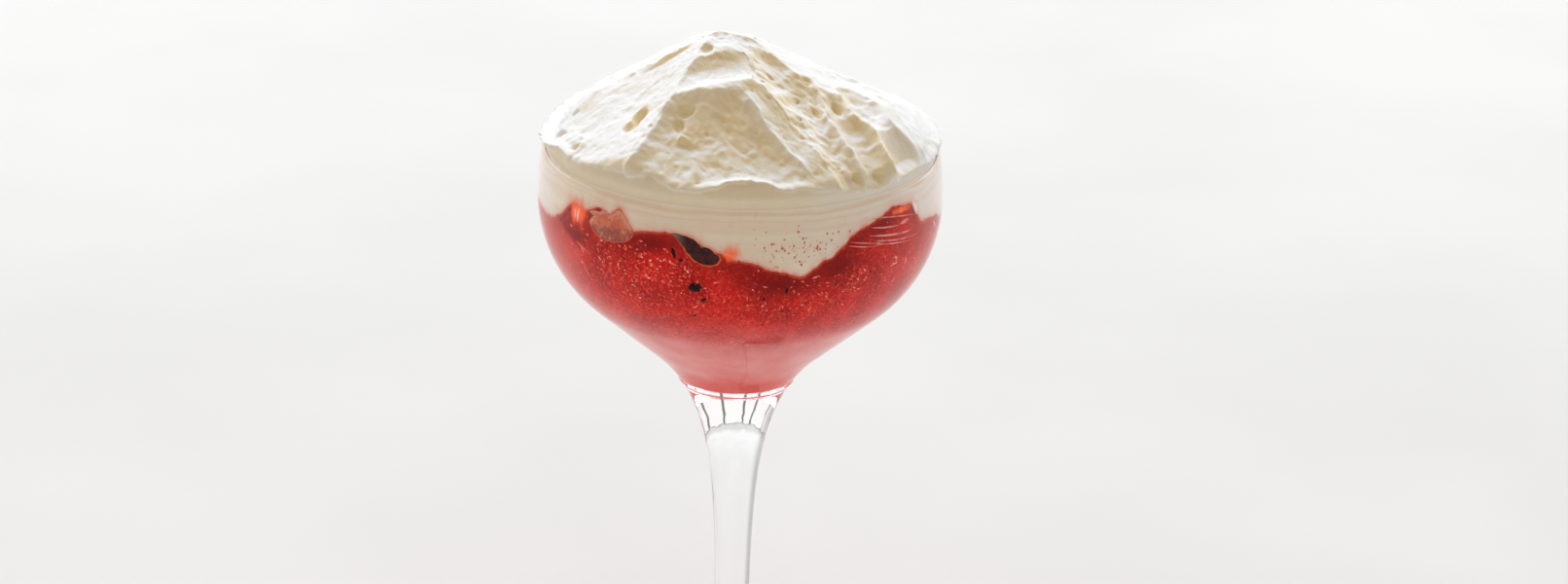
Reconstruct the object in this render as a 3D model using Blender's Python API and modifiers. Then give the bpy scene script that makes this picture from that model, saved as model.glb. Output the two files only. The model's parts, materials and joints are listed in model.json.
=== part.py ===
"""Strawberry granita with whipped cream in a stemmed coupe glass.

Four kinds of solid stand inside each other: the glass, one turned piece from rim to foot; the
granita, which fills its bowl up to an uneven line; the whipped cream, which lies on the granita,
touches the glass above that line and rises over the rim in a spooned dome; and two pieces of
fruit caught at the wall between them.

The model is in metres, +Z up, with the origin under the middle of the foot. The front is -Y.
Angles run round the glass from the front, positive to the right as seen from the front.
"""

import math

import bmesh
import bpy
import numpy as np

MM = 0.001

# --- The glass -------------------------------------------------------------------------------
GLASS_HEIGHT = 160 * MM
BELLY_RADIUS = 49 * MM  # the widest place of the bowl
BELLY_DROP = 12 * MM  # how far under the rim the belly lies
LIP_ARC = 72 * MM  # radius of the slow curve from belly to rim
SHOULDER_ARC = 34 * MM  # radius of the round shoulder under the belly
CONE_SLOPE = 1.16  # radius lost for each unit of height on the straight side
FLARE_DROP = 52 * MM  # where the straight side turns into the drawn stem
FLARE_LENGTH = 15 * MM  # how fast the flare dies away down the stem
STEM_RADIUS = 4.1 * MM
WALL = 1.3 * MM
BOWL_DEPTH = 59 * MM  # rim to the inside's lowest point
FOOT_RADIUS = 36 * MM
FOOT_EDGE = 2.2 * MM  # thickness of the foot at its edge
FOOT_RISE = 3.4 * MM  # height gained from the edge to the middle
NECK_RISE = 15 * MM  # height of the small cone that joins foot and stem
NECK_LENGTH = 2.6 * MM
FOOT_HOLLOW = 1.1 * MM  # the underside is hollow inside its resting ring
HOLLOW_RADIUS = 24 * MM

# --- What the glass holds --------------------------------------------------------------------
GAP = 0.3 * MM  # clearance between pieces that touch
GLASS_SEGMENTS = 44
FOOD_SEGMENTS = 84
FRONT_CROWDING = 0.3  # how much closer the food's segments stand in front than at the sides

# The line at the wall where granita meets cream, as angle in degrees and height in millimetres
# over the rim. Between these points it runs smoothly, and it closes round the back.
SNOW_LINE = (
    (-180, -7), (-150, -11), (-120, -6), (-95, -12), (-72, -12.5), (-65, -11.8), (-60, -10),
    (-54, -5.5), (-48, -6), (-43, -4), (-39, -5), (-35, -3.4), (-31, -7.5), (-21, -6.5),
    (-15, -6.5), (-9, -8.8), (-3, -10.6), (3, -12.1), (10.5, -14.2), (17, -15.9), (20, -15.6),
    (24, -13.3), (27.5, -12.4), (31.5, -9.6), (36.6, -6.8), (42.5, -5.5), (50, -3.8), (57, -4.4),
    (64, -10.7), (72, -11.4), (82, -14), (105, -8), (130, -13), (157, -9),
)
SNOW_CENTRE = -6 * MM  # height of the granita under the middle of the cream

# --- The dome of cream -----------------------------------------------------------------------
# Its side view from the top down: radius and height over the rim, in millimetres.
DOME_SIDE = (
    (0, 27.7), (5, 26.9), (17, 21.9), (28, 16.4), (38, 12.2), (44.2, 8.6), (47, 5.8), (47.6, 3.2),
    (46.8, 0.6),
)
PEAK_LEAN = -5.5 * MM  # the peak stands left of the glass's axis
BACK_SLUMP = 2.8  # millimetres that the back half hangs lower than the front
CALM_RIM = 9  # the last millimetres down to the rim, over which all relief dies away

# How much lower the shoulder over the rim lies than that side view, by angle: the sides and the
# back slumped. It counts from the first to the second distance from the peak.
SHOULDER_DROP = (
    (-180, 1.6), (-130, 2.4), (-100, 3.8), (-80, 3.4), (-62, 0.8), (-45, 0), (60, 0), (80, 0.5),
    (100, 1.2), (125, 2.2), (150, 1.8),
)
SHOULDER = (34, 46)
SHOULDER_FOOT = 9  # the drop dies away over this height down to the rim

# The spoon left cups side by side in a lump that reached LUMP millimetres over the dome. Each
# cup is given on the dome rolled out flat round its peak: centre to the right and to the back,
# half length and half width where it comes back up to the dome, turn in degrees, and depth.
LUMP = 2.2
CUPS = (
    (2.5, -43, 23.5, 19, -20, 2.5),  # the wide face in front
    (-35, -21.5, 28, 14.5, 33, 1.5),  # the long slope on the left
    (-53, 1, 24, 9, 84, 2.6),  # its steep outer end
    (-3, -17, 9.5, 4.8, 22, 1.2),  # the trough in front of the peak
    (22.5, -31, 24, 6.4, -58, 1.7),  # three strokes that run down to the right
    (32.5, -33, 15, 4, -62, 1.5),
    (33.5, -15, 8, 3.2, -58, 1.3),
    (44.5, -28, 8.5, 6, -55, 2.8),  # the smooth cup on the right
    (53, -8, 24, 10, -80, 1.4),  # the right-hand shoulder
    (-15, -4.5, 8, 2, 12, 1.5),  # the groove left of the peak
    (-30, 14, 27, 16, -35, 0.7),  # broad strokes round the back
    (6, 22, 27, 17, 8, 1.8),
    (34, 16, 22, 15, 40, 1.0),
)
BULGE = (-1, -25.5, 17, 11, 2.8)  # cream pushed up in front: place, half widths and height
SOFT_CREST = 1.4  # how far the crest between two cups is rounded
BACK_CUPS = 8  # more cups of the same kind, spread round the back by a rule
GOLDEN_ANGLE = 137.5


def clear_scene():
    for thing in list(bpy.data.objects):
        bpy.data.objects.remove(thing, do_unlink=True)


def new_collection(name, shown):
    collection = bpy.data.collections.new(name)
    bpy.context.scene.collection.children.link(collection)
    collection.hide_render = not shown
    return collection


def finish(name, colour, roughness, alpha=1.0, transmission=0.0):
    """A Principled BSDF material."""
    material = bpy.data.materials.new(name)
    material.use_nodes = True
    shader = material.node_tree.nodes["Principled BSDF"]
    shader.inputs["Base Color"].default_value = (*colour, 1.0)
    shader.inputs["Roughness"].default_value = roughness
    shader.inputs["Metallic"].default_value = 0.0
    shader.inputs["Transmission Weight"].default_value = transmission
    shader.inputs["Alpha"].default_value = alpha
    return material


def new_object(name, mesh, material, collection):
    thing = bpy.data.objects.new(name, mesh)
    mesh.materials.append(material)
    collection.objects.link(thing)
    return thing


def shade_round(mesh, sharp_degrees=50):
    mesh.shade_smooth()
    mesh.set_sharp_from_angle(angle=math.radians(sharp_degrees))


# --- Profiles --------------------------------------------------------------------------------
def cone_normal():
    """Radial and downward part of the straight side's outward direction."""
    length = math.hypot(1, CONE_SLOPE)
    return 1 / length, CONE_SLOPE / length


def arc(centre_r, centre_z, radius, start, stop, steps):
    """Points of a circle in the profile's plane, between two angles in radians."""
    angles = np.linspace(start, stop, steps)
    return [(centre_r + radius * math.cos(a), centre_z + radius * math.sin(a)) for a in angles]


def bowl_side(inset, steps_up, steps_round):
    """The bowl's side from rim to the foot of its shoulder, moved in by `inset`.

    A wide arc runs from the rim to the belly and a tighter one round the shoulder, down to
    where it has the slope of the straight side.
    """
    belly = GLASS_HEIGHT - BELLY_DROP
    rise = math.asin(BELLY_DROP / LIP_ARC)
    turn = math.asin(cone_normal()[1])
    upper = arc(BELLY_RADIUS - LIP_ARC, belly, LIP_ARC - inset, rise, 0, steps_up)
    lower = arc(BELLY_RADIUS - SHOULDER_ARC, belly, SHOULDER_ARC - inset, 0, -turn, steps_round)
    return upper + lower[1:]


def inside_bottom(steps):
    """The round bottom of the bowl's inside: a sphere on the axis that the straight side touches."""
    radial, down = cone_normal()
    shoulder_r, shoulder_z = bowl_side(WALL, 2, 2)[-1]
    floor = GLASS_HEIGHT - BOWL_DEPTH
    # Where the sphere of radius R touches the side: R * radial = r there, floor + R * (1 - down) = z.
    radius = (shoulder_r - CONE_SLOPE * (shoulder_z - floor)) / (radial - CONE_SLOPE * (1 - down))
    return arc(0, floor + radius, radius, -math.asin(down), -math.pi / 2, steps)


def inside_profile(steps_up=5, steps_round=7, steps_bottom=6):
    """The bowl's inside from rim to axis."""
    return bowl_side(WALL, steps_up, steps_round) + inside_bottom(steps_bottom)


def stem_side(steps):
    """The flare dies away down the stem like an exponential."""
    top = GLASS_HEIGHT - FLARE_DROP
    bottom = FOOT_EDGE + FOOT_RISE + NECK_RISE
    shoulder_r, shoulder_z = bowl_side(0, 2, 2)[-1]
    flare_radius = shoulder_r - CONE_SLOPE * (shoulder_z - top)
    drops = (top - bottom) * np.linspace(0, 1, steps) ** 1.5
    return [
        (STEM_RADIUS + (flare_radius - STEM_RADIUS) * math.exp(-d / FLARE_LENGTH), top - d)
        for d in drops
    ]


def foot_side(steps):
    """The foot's upper side: a flat cone, and a steep one where it meets the stem."""
    radii = STEM_RADIUS + (FOOT_RADIUS - STEM_RADIUS) * np.linspace(0.012, 1, steps) ** 2.2
    return [
        (
            r,
            FOOT_EDGE
            + FOOT_RISE * (1 - r / FOOT_RADIUS)
            + NECK_RISE * math.exp(-(r - STEM_RADIUS) / NECK_LENGTH),
        )
        for r in radii
    ]


def glass_profile():
    """The whole section: up the inside, over the rim, down the outside, under the foot."""
    inside = inside_profile()[::-1]
    outside = bowl_side(0, 5, 7)
    rim_in, rim_out = inside[-1], outside[0]
    rim = arc((rim_in[0] + rim_out[0]) / 2, GLASS_HEIGHT - WALL / 2, WALL / 2, math.pi, 0, 5)
    edge = arc(FOOT_RADIUS - FOOT_EDGE / 2, FOOT_EDGE / 2, FOOT_EDGE / 2, math.pi / 2, -math.pi / 2, 4)
    under = [(HOLLOW_RADIUS, 0), (HOLLOW_RADIUS * 0.6, FOOT_HOLLOW * 0.7), (0, FOOT_HOLLOW)]
    inside[-1] = (rim_in[0], GLASS_HEIGHT - WALL / 2)
    outside[0] = (rim_out[0], GLASS_HEIGHT - WALL / 2)
    return inside + rim[1:-1] + outside + stem_side(9) + foot_side(8)[:-1] + edge + under


def turned(name, profile, segments, material, collection):
    """A profile spun round the Z axis by a Screw modifier."""
    mesh = bpy.data.meshes.new(name)
    points = [(max(r, 0.0), 0.0, z) for r, z in profile]
    mesh.from_pydata(points, [(i, i + 1) for i in range(len(points) - 1)], [])
    thing = new_object(name, mesh, material, collection)
    screw = thing.modifiers.new("Turn", "SCREW")
    screw.steps = screw.render_steps = segments
    screw.use_merge_vertices = True
    screw.merge_threshold = 0.00001
    screw.use_smooth_shade = True
    return thing


# --- Shapes of the food ----------------------------------------------------------------------
def smooth_through(x, knots_x, knots_y):
    """A curve through the knots with no overshoot: cubic pieces, each level's slope limited."""
    knots_x, knots_y = np.asarray(knots_x, float), np.asarray(knots_y, float)
    steps = np.diff(knots_x)
    slopes = np.diff(knots_y) / steps
    tangents = np.zeros(len(knots_x))
    same_way = slopes[:-1] * slopes[1:] > 0
    weight_a, weight_b = 2 * steps[1:] + steps[:-1], steps[1:] + 2 * steps[:-1]
    safe = np.where(same_way, slopes[:-1] * slopes[1:], 1.0)
    mean = (weight_a + weight_b) * safe / (weight_a * slopes[1:] + weight_b * slopes[:-1] + 1e-30)
    tangents[1:-1] = np.where(same_way, mean, 0.0)
    tangents[0], tangents[-1] = slopes[0], slopes[-1]
    k = np.clip(np.searchsorted(knots_x, x) - 1, 0, len(steps) - 1)
    t = (x - knots_x[k]) / steps[k]
    return (
        (1 + 2 * t) * (1 - t) ** 2 * knots_y[k]
        + t * (1 - t) ** 2 * steps[k] * tangents[k]
        + t**2 * (3 - 2 * t) * knots_y[k + 1]
        - t**2 * (1 - t) * steps[k] * tangents[k + 1]
    )


def smooth_step(value, low, high):
    """0 below `low`, 1 above `high`, and smooth between."""
    t = np.clip((value - low) / (high - low), 0, 1)
    return t**2 * (3 - 2 * t)


def round_table(angle, table):
    """Values given at angles in degrees, joined smoothly all the way round."""
    degrees, values = zip(*table)
    degrees = (degrees[-1] - 360, *degrees, degrees[0] + 360)
    values = (values[-1], *values, values[0])
    return smooth_through((np.degrees(angle) + 180) % 360 - 180, degrees, values)


def snow_line(angle):
    """Height of the line where granita meets cream at the wall, for angles in radians."""
    return GLASS_HEIGHT + MM * round_table(angle, SNOW_LINE)


def wall_radius(height):
    """Radius of the bowl's inside at a height."""
    profile = np.array(inside_profile(9, 13, 11))[::-1]
    return np.interp(height, profile[:, 1], profile[:, 0])


def snow_height(angle, share):
    """Height of the granita's top; `share` is 0 on the axis and 1 at the wall."""
    blend = smooth_step(share, 0, 1)
    lumps = 1.6 * MM * np.sin(5 * angle + 1.3) * np.sin(math.pi * share) ** 2
    centre = GLASS_HEIGHT + SNOW_CENTRE
    return centre + (snow_line(angle) - centre) * blend + lumps


def ball_grid(name, rings):
    """A sphere's mesh and, for each vertex, its angle round the axis and its ring from the top."""
    ball = bmesh.new()
    bmesh.ops.create_uvsphere(ball, u_segments=FOOD_SEGMENTS, v_segments=rings, radius=1)
    mesh = bpy.data.meshes.new(name)
    ball.to_mesh(mesh)
    ball.free()
    points = np.array([v.co for v in mesh.vertices])
    angle = np.arctan2(points[:, 0], -points[:, 1])
    angle -= FRONT_CROWDING * np.sin(angle)
    ring = np.rint(np.arccos(np.clip(points[:, 2], -1, 1)) / math.pi * rings).astype(int)
    return mesh, angle, ring


def set_points(mesh, angle, radius, height, shift_x=0.0):
    points = np.stack([radius * np.sin(angle) + shift_x, -radius * np.cos(angle), height], axis=1)
    mesh.vertices.foreach_set("co", points.astype(np.float32).ravel())
    mesh.update()


TOP_SHARES = (0.0, 0.3, 0.55, 0.74, 0.88, 1.0)  # rings of the face between granita and cream


def granita_mesh():
    """A ball drawn out to fill the bowl: its upper rings are the top, its lower ones the wall."""
    top = len(TOP_SHARES) - 1
    wall_rings = 7
    mesh, angle, ring = ball_grid("granita", top + wall_rings)
    edge = snow_line(angle)
    floor = GLASS_HEIGHT - BOWL_DEPTH + GAP
    down = np.clip((ring - top) / wall_rings, 0, 1)
    share = np.asarray(TOP_SHARES)[np.minimum(ring, top)]
    height = np.where(ring <= top, snow_height(angle, share), edge + (floor - edge) * down**0.9)
    wall = np.maximum(wall_radius(height - 0.4 * GAP) - GAP, 0) * (down < 1)
    radius = np.where(ring <= top, share * (wall_radius(edge) - GAP), wall)
    set_points(mesh, angle, radius, height)
    return mesh


# --- Relief of the cream ---------------------------------------------------------------------
def all_cups():
    """The named cups, and those of the back: a golden-angle spiral through the back half."""
    cups = [*CUPS]
    for n in range(BACK_CUPS):
        bearing = math.radians(180 + n * GOLDEN_ANGLE % 170 - 85)
        away = 24 + 26 * ((n * 0.618 + 0.2) % 1)
        x, y = away * math.sin(bearing), -away * math.cos(bearing)
        size = 7 + 4 * ((n * 0.37) % 1)
        cups.append((x, y, size, 0.55 * size, 70 * n, 1.2 + 1.1 * ((n * 0.53) % 1)))
    return cups


def cup_relief(x, y):
    """The lowest of all cups at each place; where two meet they leave a rounded crest.

    A cup is a paraboloid: -depth in its middle, 0 on its ellipse, and rising beyond it.
    """
    relief = np.full_like(x, LUMP)
    for centre_x, centre_y, half_length, half_width, turn, depth in all_cups():
        c, s = math.cos(math.radians(turn)), math.sin(math.radians(turn))
        along = ((x - centre_x) * c + (y - centre_y) * s) / half_length
        across = (-(x - centre_x) * s + (y - centre_y) * c) / half_width
        cup = depth * (along**2 + across**2 - 1)
        closeness = np.clip(1 - np.abs(relief - cup) / SOFT_CREST, 0, 1)
        relief = np.minimum(relief, cup) - closeness**2 * SOFT_CREST / 4
    bulge_x, bulge_y, wide, deep, height = BULGE
    bulge = height * np.exp(-(((x - bulge_x) / wide) ** 2) - ((y - bulge_y) / deep) ** 2)
    return relief + bulge - BACK_SLUMP * smooth_step(y, 4, 38)


def dome_points(angle, share):
    """Radius and height of the dome; `share` is 0 at the peak and 1 at the rim."""
    side = np.array(DOME_SIDE, float)
    length = np.concatenate([[0], np.cumsum(np.hypot(*np.diff(side, axis=0).T))])
    along = share * length[-1]
    radius = smooth_through(along, length, side[:, 0])
    height = smooth_through(along, length, side[:, 1])
    step = 0.5
    ahead, behind = np.clip(along + step, 0, length[-1]), np.clip(along - step, 0, length[-1])
    run = smooth_through(ahead, length, side[:, 0]) - smooth_through(behind, length, side[:, 0])
    fall = smooth_through(behind, length, side[:, 1]) - smooth_through(ahead, length, side[:, 1])
    norm = np.hypot(run, fall)
    x, y = along * np.sin(angle), -along * np.cos(angle)
    relief = cup_relief(x, y) * smooth_step(length[-1] - along, 0, CALM_RIM)
    radius, height = radius + relief * fall / norm, height + relief * run / norm
    dropped = smooth_step(along, *SHOULDER) * smooth_step(height, 0, SHOULDER_FOOT)
    height = height - round_table(angle, SHOULDER_DROP) * dropped
    return radius * MM, GLASS_HEIGHT + height * MM


def cream_mesh():
    """A ball drawn out to the cream: dome, then the wall of the glass, then the underside."""
    dome_rings, wall_rings = 28, 3
    under = len(TOP_SHARES) - 1
    mesh, angle, ring = ball_grid("whipped_cream", dome_rings + wall_rings + under)
    share = np.clip(ring / dome_rings, 0, 1)
    radius, height = dome_points(angle, share)
    rise = np.clip((height - GLASS_HEIGHT) / MM / DOME_SIDE[0][1], 0, 1)
    shift = PEAK_LEAN * rise**1.5
    edge = snow_line(angle) + 2 * GAP
    down = np.clip((ring - dome_rings) / wall_rings, 0, 1)
    on_wall = ring > dome_rings
    height = np.where(on_wall, GLASS_HEIGHT + (edge - GLASS_HEIGHT) * down, height)
    radius = np.where(on_wall, wall_radius(np.minimum(height, GLASS_HEIGHT)) - GAP, radius)
    radius = np.where(ring == dome_rings, wall_radius(GLASS_HEIGHT) - GAP, radius)
    inward = np.clip(ring - dome_rings - wall_rings, 0, under)
    below = ring > dome_rings + wall_rings
    top_share = np.asarray(TOP_SHARES)[under - inward]
    height = np.where(below, snow_height(angle, top_share) + 2 * GAP, height)
    radius = np.where(below, top_share * (wall_radius(snow_line(angle)) - GAP), radius)
    set_points(mesh, angle, radius, height, np.where(on_wall, 0.0, shift))
    return mesh


# --- The two pieces of fruit -----------------------------------------------------------------
# Each: angle round the glass and height over the rim of its centre, half length, half height
# and half depth in millimetres, and how its length leans, in degrees.
FRUIT = {
    "berry_piece": (-11, -9.6, 6.2, 2.2, 2.2, -30),
    "fruit_chunk": (-38.8, -7.4, 6.6, 3.7, 2.4, -5),
}
PRESSED = 0.2  # how much flatter a piece is on the side that meets the glass


def fruit_mesh(name, grown=0.0):
    """A ball with uneven bumps, laid against the wall: its flat outer side follows the glass."""
    centre_angle, centre_height, length, tall, deep, lean = FRUIT[name]
    ball = bmesh.new()
    bmesh.ops.create_icosphere(ball, subdivisions=3, radius=1)
    c, s = math.cos(math.radians(lean)), math.sin(math.radians(lean))
    for vertex in ball.verts:
        x, y, z = vertex.co
        bump = 1 + 0.07 * math.sin(4 * x + 2) * math.cos(3 * z + 1) + 0.04 * math.sin(7 * z - 3 * x)
        along, up = x * (length * MM * bump + grown), z * (tall * MM * bump + grown)
        sideways, height = along * c - up * s, along * s + up * c
        height += GLASS_HEIGHT + centre_height * MM
        outward = -y * ((PRESSED if y < 0 else 1) * deep * MM + grown)
        radius = wall_radius(height) - 1.1 * GAP - PRESSED * deep * MM + outward
        angle = math.radians(centre_angle) + sideways / BELLY_RADIUS
        vertex.co = (radius * math.sin(angle), -radius * math.cos(angle), height)
    mesh = bpy.data.meshes.new(name)
    ball.to_mesh(mesh)
    ball.free()
    return mesh


def cut_with(thing, cutter):
    cut = thing.modifiers.new("Room for " + cutter.name, "BOOLEAN")
    cut.operation = "DIFFERENCE"
    cut.solver = "EXACT"
    cut.object = cutter


def build():
    clear_scene()
    parts = new_collection("granita_coupe", True)
    cutters = new_collection("cutters", False)
    clear_glass = finish("clear glass", (0.95, 0.97, 0.97), 0.02, alpha=0.35, transmission=1.0)
    red_ice = finish("strawberry granita", (0.52, 0.03, 0.025), 0.35)
    cream = finish("whipped cream", (0.86, 0.82, 0.70), 0.6)
    dark_skin = finish("dark berry skin", (0.06, 0.008, 0.012), 0.4)
    pale_fruit = finish("pale wet fruit", (0.55, 0.20, 0.14), 0.3)

    turned("coupe_glass", glass_profile(), GLASS_SEGMENTS, clear_glass, parts)
    granita = new_object("granita", granita_mesh(), red_ice, parts)
    topping = new_object("whipped_cream", cream_mesh(), cream, parts)
    for mesh in (granita.data, topping.data):
        shade_round(mesh)
    for name, material in (("berry_piece", dark_skin), ("fruit_chunk", pale_fruit)):
        piece = new_object(name, fruit_mesh(name), material, parts)
        shade_round(piece.data)
        cutter = new_object(name + "_room", fruit_mesh(name, grown=1.2 * GAP), material, cutters)
        cutter.hide_render = True
        cutter.display_type = "WIRE"
        cut_with(granita, cutter)
        cut_with(topping, cutter)


build()
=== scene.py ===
# %% [markdown]
# # Strawberry granita under whipped cream, in a stemmed coupe glass
#
# The solids of this dessert are made already: the glass, the granita that fills its bowl, the
# cream that stands over the rim, and two bits of fruit caught at the wall. This lesson works out
# the finer skins that stand for them, each in the room that its solid takes, and mixes their
# finishes. Lengths are in millimetres until a mesh is made, and heights count from the rim,
# because that is where everything meets.

# %% Load the solids
import json
import math

import bpy
import numpy as np
from mathutils import Matrix, Vector

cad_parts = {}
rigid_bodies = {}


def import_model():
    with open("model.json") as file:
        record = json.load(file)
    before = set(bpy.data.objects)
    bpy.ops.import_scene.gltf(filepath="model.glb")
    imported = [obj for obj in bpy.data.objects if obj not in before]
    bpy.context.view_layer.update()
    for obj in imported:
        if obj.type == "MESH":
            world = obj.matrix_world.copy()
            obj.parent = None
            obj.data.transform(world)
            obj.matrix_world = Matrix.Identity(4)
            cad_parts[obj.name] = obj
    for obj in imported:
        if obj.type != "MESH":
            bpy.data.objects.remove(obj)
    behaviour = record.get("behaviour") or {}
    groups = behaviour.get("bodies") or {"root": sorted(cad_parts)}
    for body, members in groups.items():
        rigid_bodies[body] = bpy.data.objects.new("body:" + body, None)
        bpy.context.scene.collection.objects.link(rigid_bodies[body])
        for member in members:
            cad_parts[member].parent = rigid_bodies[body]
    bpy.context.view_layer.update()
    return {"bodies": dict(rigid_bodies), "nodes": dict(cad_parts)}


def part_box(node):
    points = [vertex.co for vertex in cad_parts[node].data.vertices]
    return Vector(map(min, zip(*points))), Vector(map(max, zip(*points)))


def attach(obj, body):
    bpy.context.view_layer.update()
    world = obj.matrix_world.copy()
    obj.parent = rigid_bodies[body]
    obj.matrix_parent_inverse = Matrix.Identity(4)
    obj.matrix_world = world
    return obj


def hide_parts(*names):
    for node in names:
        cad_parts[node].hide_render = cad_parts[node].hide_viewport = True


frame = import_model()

MM = 0.001
glass_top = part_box("coupe_glass")[1]
RIM_HEIGHT = glass_top.z / MM
BELLY_RADIUS = glass_top.x / MM
print(f"rim at {RIM_HEIGHT:.1f}, belly radius {BELLY_RADIUS:.1f}")

# %% [markdown]
# ## An empty stage
#
# A new Blender file may hold a cube, a lamp and a camera. Everything that did not come with the
# solids is taken away first, so that only what this lesson makes is seen.

# %% Clear the file
kept = set(frame["nodes"].values()) | set(frame["bodies"].values())
for thing in [thing for thing in bpy.data.objects if thing not in kept]:
    bpy.data.objects.remove(thing, do_unlink=True)

# %% [markdown]
# ## Camera
#
# A dessert is portrayed with a long lens from a little above, so that the bowl looks wide and the
# hill on it tall. The camera is given by the point it looks at, how far away it stands, how far
# it looks down, and its roll about that line, because those are what a photographer sets.

# %% Camera
LOOK_AT = Vector((11.2, 0, RIM_HEIGHT - 37.5)) * MM
LOOK_DOWN = math.radians(20.9)
CAMERA_ROLL = math.radians(1.5)
CAMERA_AWAY = 1063 * MM
LENS = 100
SENSOR_WIDTH = 36

camera = bpy.data.objects.new("camera", bpy.data.cameras.new("camera"))
bpy.context.scene.collection.objects.link(camera)
bpy.context.scene.camera = camera
camera.data.lens = LENS
camera.data.sensor_width = SENSOR_WIDTH
ahead = Vector((0, math.cos(LOOK_DOWN), -math.sin(LOOK_DOWN)))
level_right = Vector((1, 0, 0))
level_up = level_right.cross(ahead)
right = math.cos(CAMERA_ROLL) * level_right + math.sin(CAMERA_ROLL) * level_up
up = math.cos(CAMERA_ROLL) * level_up - math.sin(CAMERA_ROLL) * level_right
camera.matrix_world = Matrix.Translation(LOOK_AT - ahead * CAMERA_AWAY) @ (
    Matrix((right, up, -ahead)).transposed().to_4x4()
)
print(f"camera {CAMERA_AWAY:.2f} m away, {LENS} mm lens")

# %% [markdown]
# ## Meshes from grids
#
# Nearly every piece here is a round body: rings of points from a top pole to a bottom pole. If
# the points are worked out as one array, ring by column, the faces are always the same, so one
# helper can close any of them. It measures the volume that the faces enclose and turns them
# round if it comes out negative, so that every face looks outwards.

# %% A closed skin from rings
def round_points(radius, height, angles):
    """Points x = r sin(angle), y = -r cos(angle), z = height, as [ring, column, xyz]."""
    x, y = radius * np.sin(angles), -radius * np.cos(angles)
    return np.stack(np.broadcast_arrays(x, y, height), axis=-1)


def skin(name, points, faces):
    """A smoothly shaded mesh from faces and points, in millimetres over the rim."""
    mesh = bpy.data.meshes.new(name)
    mesh.from_pydata(((points + (0, 0, RIM_HEIGHT)) * MM).tolist(), [], faces)
    mesh.polygons.foreach_set("use_smooth", np.ones(len(mesh.polygons), bool))
    return mesh


def round_body(name, rings):
    """A closed mesh from an array [ring, column, xyz] in millimetres over the rim.

    Ring by ring and column by column, four neighbours make a quad; the first and the last ring
    shrink to one point each, and fans of triangles close them.
    """
    count, columns = rings.shape[:2]
    poles = rings[[0, -1]].mean(axis=1)
    points = np.concatenate([poles[:1], rings[1:-1].reshape(-1, 3), poles[1:]])
    here = np.arange(columns)
    beside = np.roll(here, -1)
    starts = 1 + columns * np.arange(count - 3)[:, None]
    quads = np.stack(
        [starts + here, starts + beside, starts + beside + columns, starts + here + columns], axis=-1
    ).reshape(-1, 4)
    last = len(points) - 1
    top = np.stack([here * 0, 1 + beside, 1 + here], axis=-1)
    bottom = np.stack([here * 0 + last, last - columns + here, last - columns + beside], axis=-1)
    halves = np.concatenate([quads[:, [0, 1, 2]], quads[:, [0, 2, 3]], top, bottom])
    a, b, c = (points[halves[:, k]] for k in range(3))
    volume = np.einsum("ij,ij->", a, np.cross(b, c)) / 6
    if volume < 0:
        quads, top, bottom = quads[:, ::-1], top[:, ::-1], bottom[:, ::-1]
    print(f"{name}: {len(halves)} triangles, {abs(volume) / 1000:.1f} ml")
    return skin(name, points, quads.tolist() + top.tolist() + bottom.tolist())


# %% [markdown]
# A finish often has to know something about a place, such as how far it lies from an edge. Such
# numbers are painted on the mesh, one for each point, and the material reads them by name. A
# finished piece is then placed: it rides on the body of the dessert and stands for its solid.

# %% Painting and placing
def paint(mesh, name, values):
    """Stores values [ring, column] of a round body on its points; a pole takes its ring's mean."""
    in_order = values[:1].mean(axis=1), values[1:-1].ravel(), values[-1:].mean(axis=1)
    layer = mesh.attributes.new(name, "FLOAT", "POINT")
    layer.data.foreach_set("value", np.concatenate(in_order).astype(np.float32))


def place(mesh, finish, slot, *nodes):
    """Puts a mesh into the scene as a piece with its finish, and hides the solids it stands for."""
    piece = bpy.data.objects.new(mesh.name, mesh)
    bpy.context.scene.collection.objects.link(piece)
    mesh.materials.append(finish.owner)
    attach(piece, "root")
    if nodes:
        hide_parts(*nodes)
    print(f"{mesh.name} wears {finish.owner.name}")


# %% [markdown]
# ## Unevenness that is the same every time
#
# Food is never smooth, but a script has to give the same food on every run. Lattice noise does
# that: a block of fixed random numbers is thought of as the corners of cubes, and a point takes
# a smooth mixture of its cube's eight corners. Layers of it, each half as large and half as
# strong as the one before, look torn and grainy like something real.

# %% Noise
LATTICE_SIDE = 32
LATTICE = np.random.default_rng(7).uniform(-1, 1, (LATTICE_SIDE,) * 3)
# Three directions at right angles to each other, none of them along the lattice.
ASKEW = np.array([(0.8, 0.36, 0.48), (-0.6, 0.48, 0.64), (0, -0.8, 0.6)])
LAYER_SHIFT = 11.3


def hills(points, cell, layers):
    """Smooth random hills from -1 to 1, `cell` millimetres apart, at points [..., xyz].

    In each layer: the eight corners round a point, mixed by t*t*t*(t*(6t - 15) + 10) along x, y
    and z. The layers are added with half the strength and half the cell each time.
    """
    total, strength, weight = 0.0, 0.0, 1.0
    for layer in range(layers):
        scaled = points * (2**layer / cell) + LAYER_SHIFT * layer
        corner = np.floor(scaled).astype(int)
        t = scaled - corner
        t = t * t * t * (t * (t * 6 - 15) + 10)
        mixture = 0.0
        for dx, dy, dz in np.ndindex(2, 2, 2):
            share = (
                np.where(dx, t[..., 0], 1 - t[..., 0])
                * np.where(dy, t[..., 1], 1 - t[..., 1])
                * np.where(dz, t[..., 2], 1 - t[..., 2])
            )
            at = (corner + (dx, dy, dz)) % LATTICE_SIDE
            mixture = mixture + share * LATTICE[at[..., 0], at[..., 1], at[..., 2]]
        total, strength, weight = total + weight * mixture, strength + weight, weight / 2
    return total / strength


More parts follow.
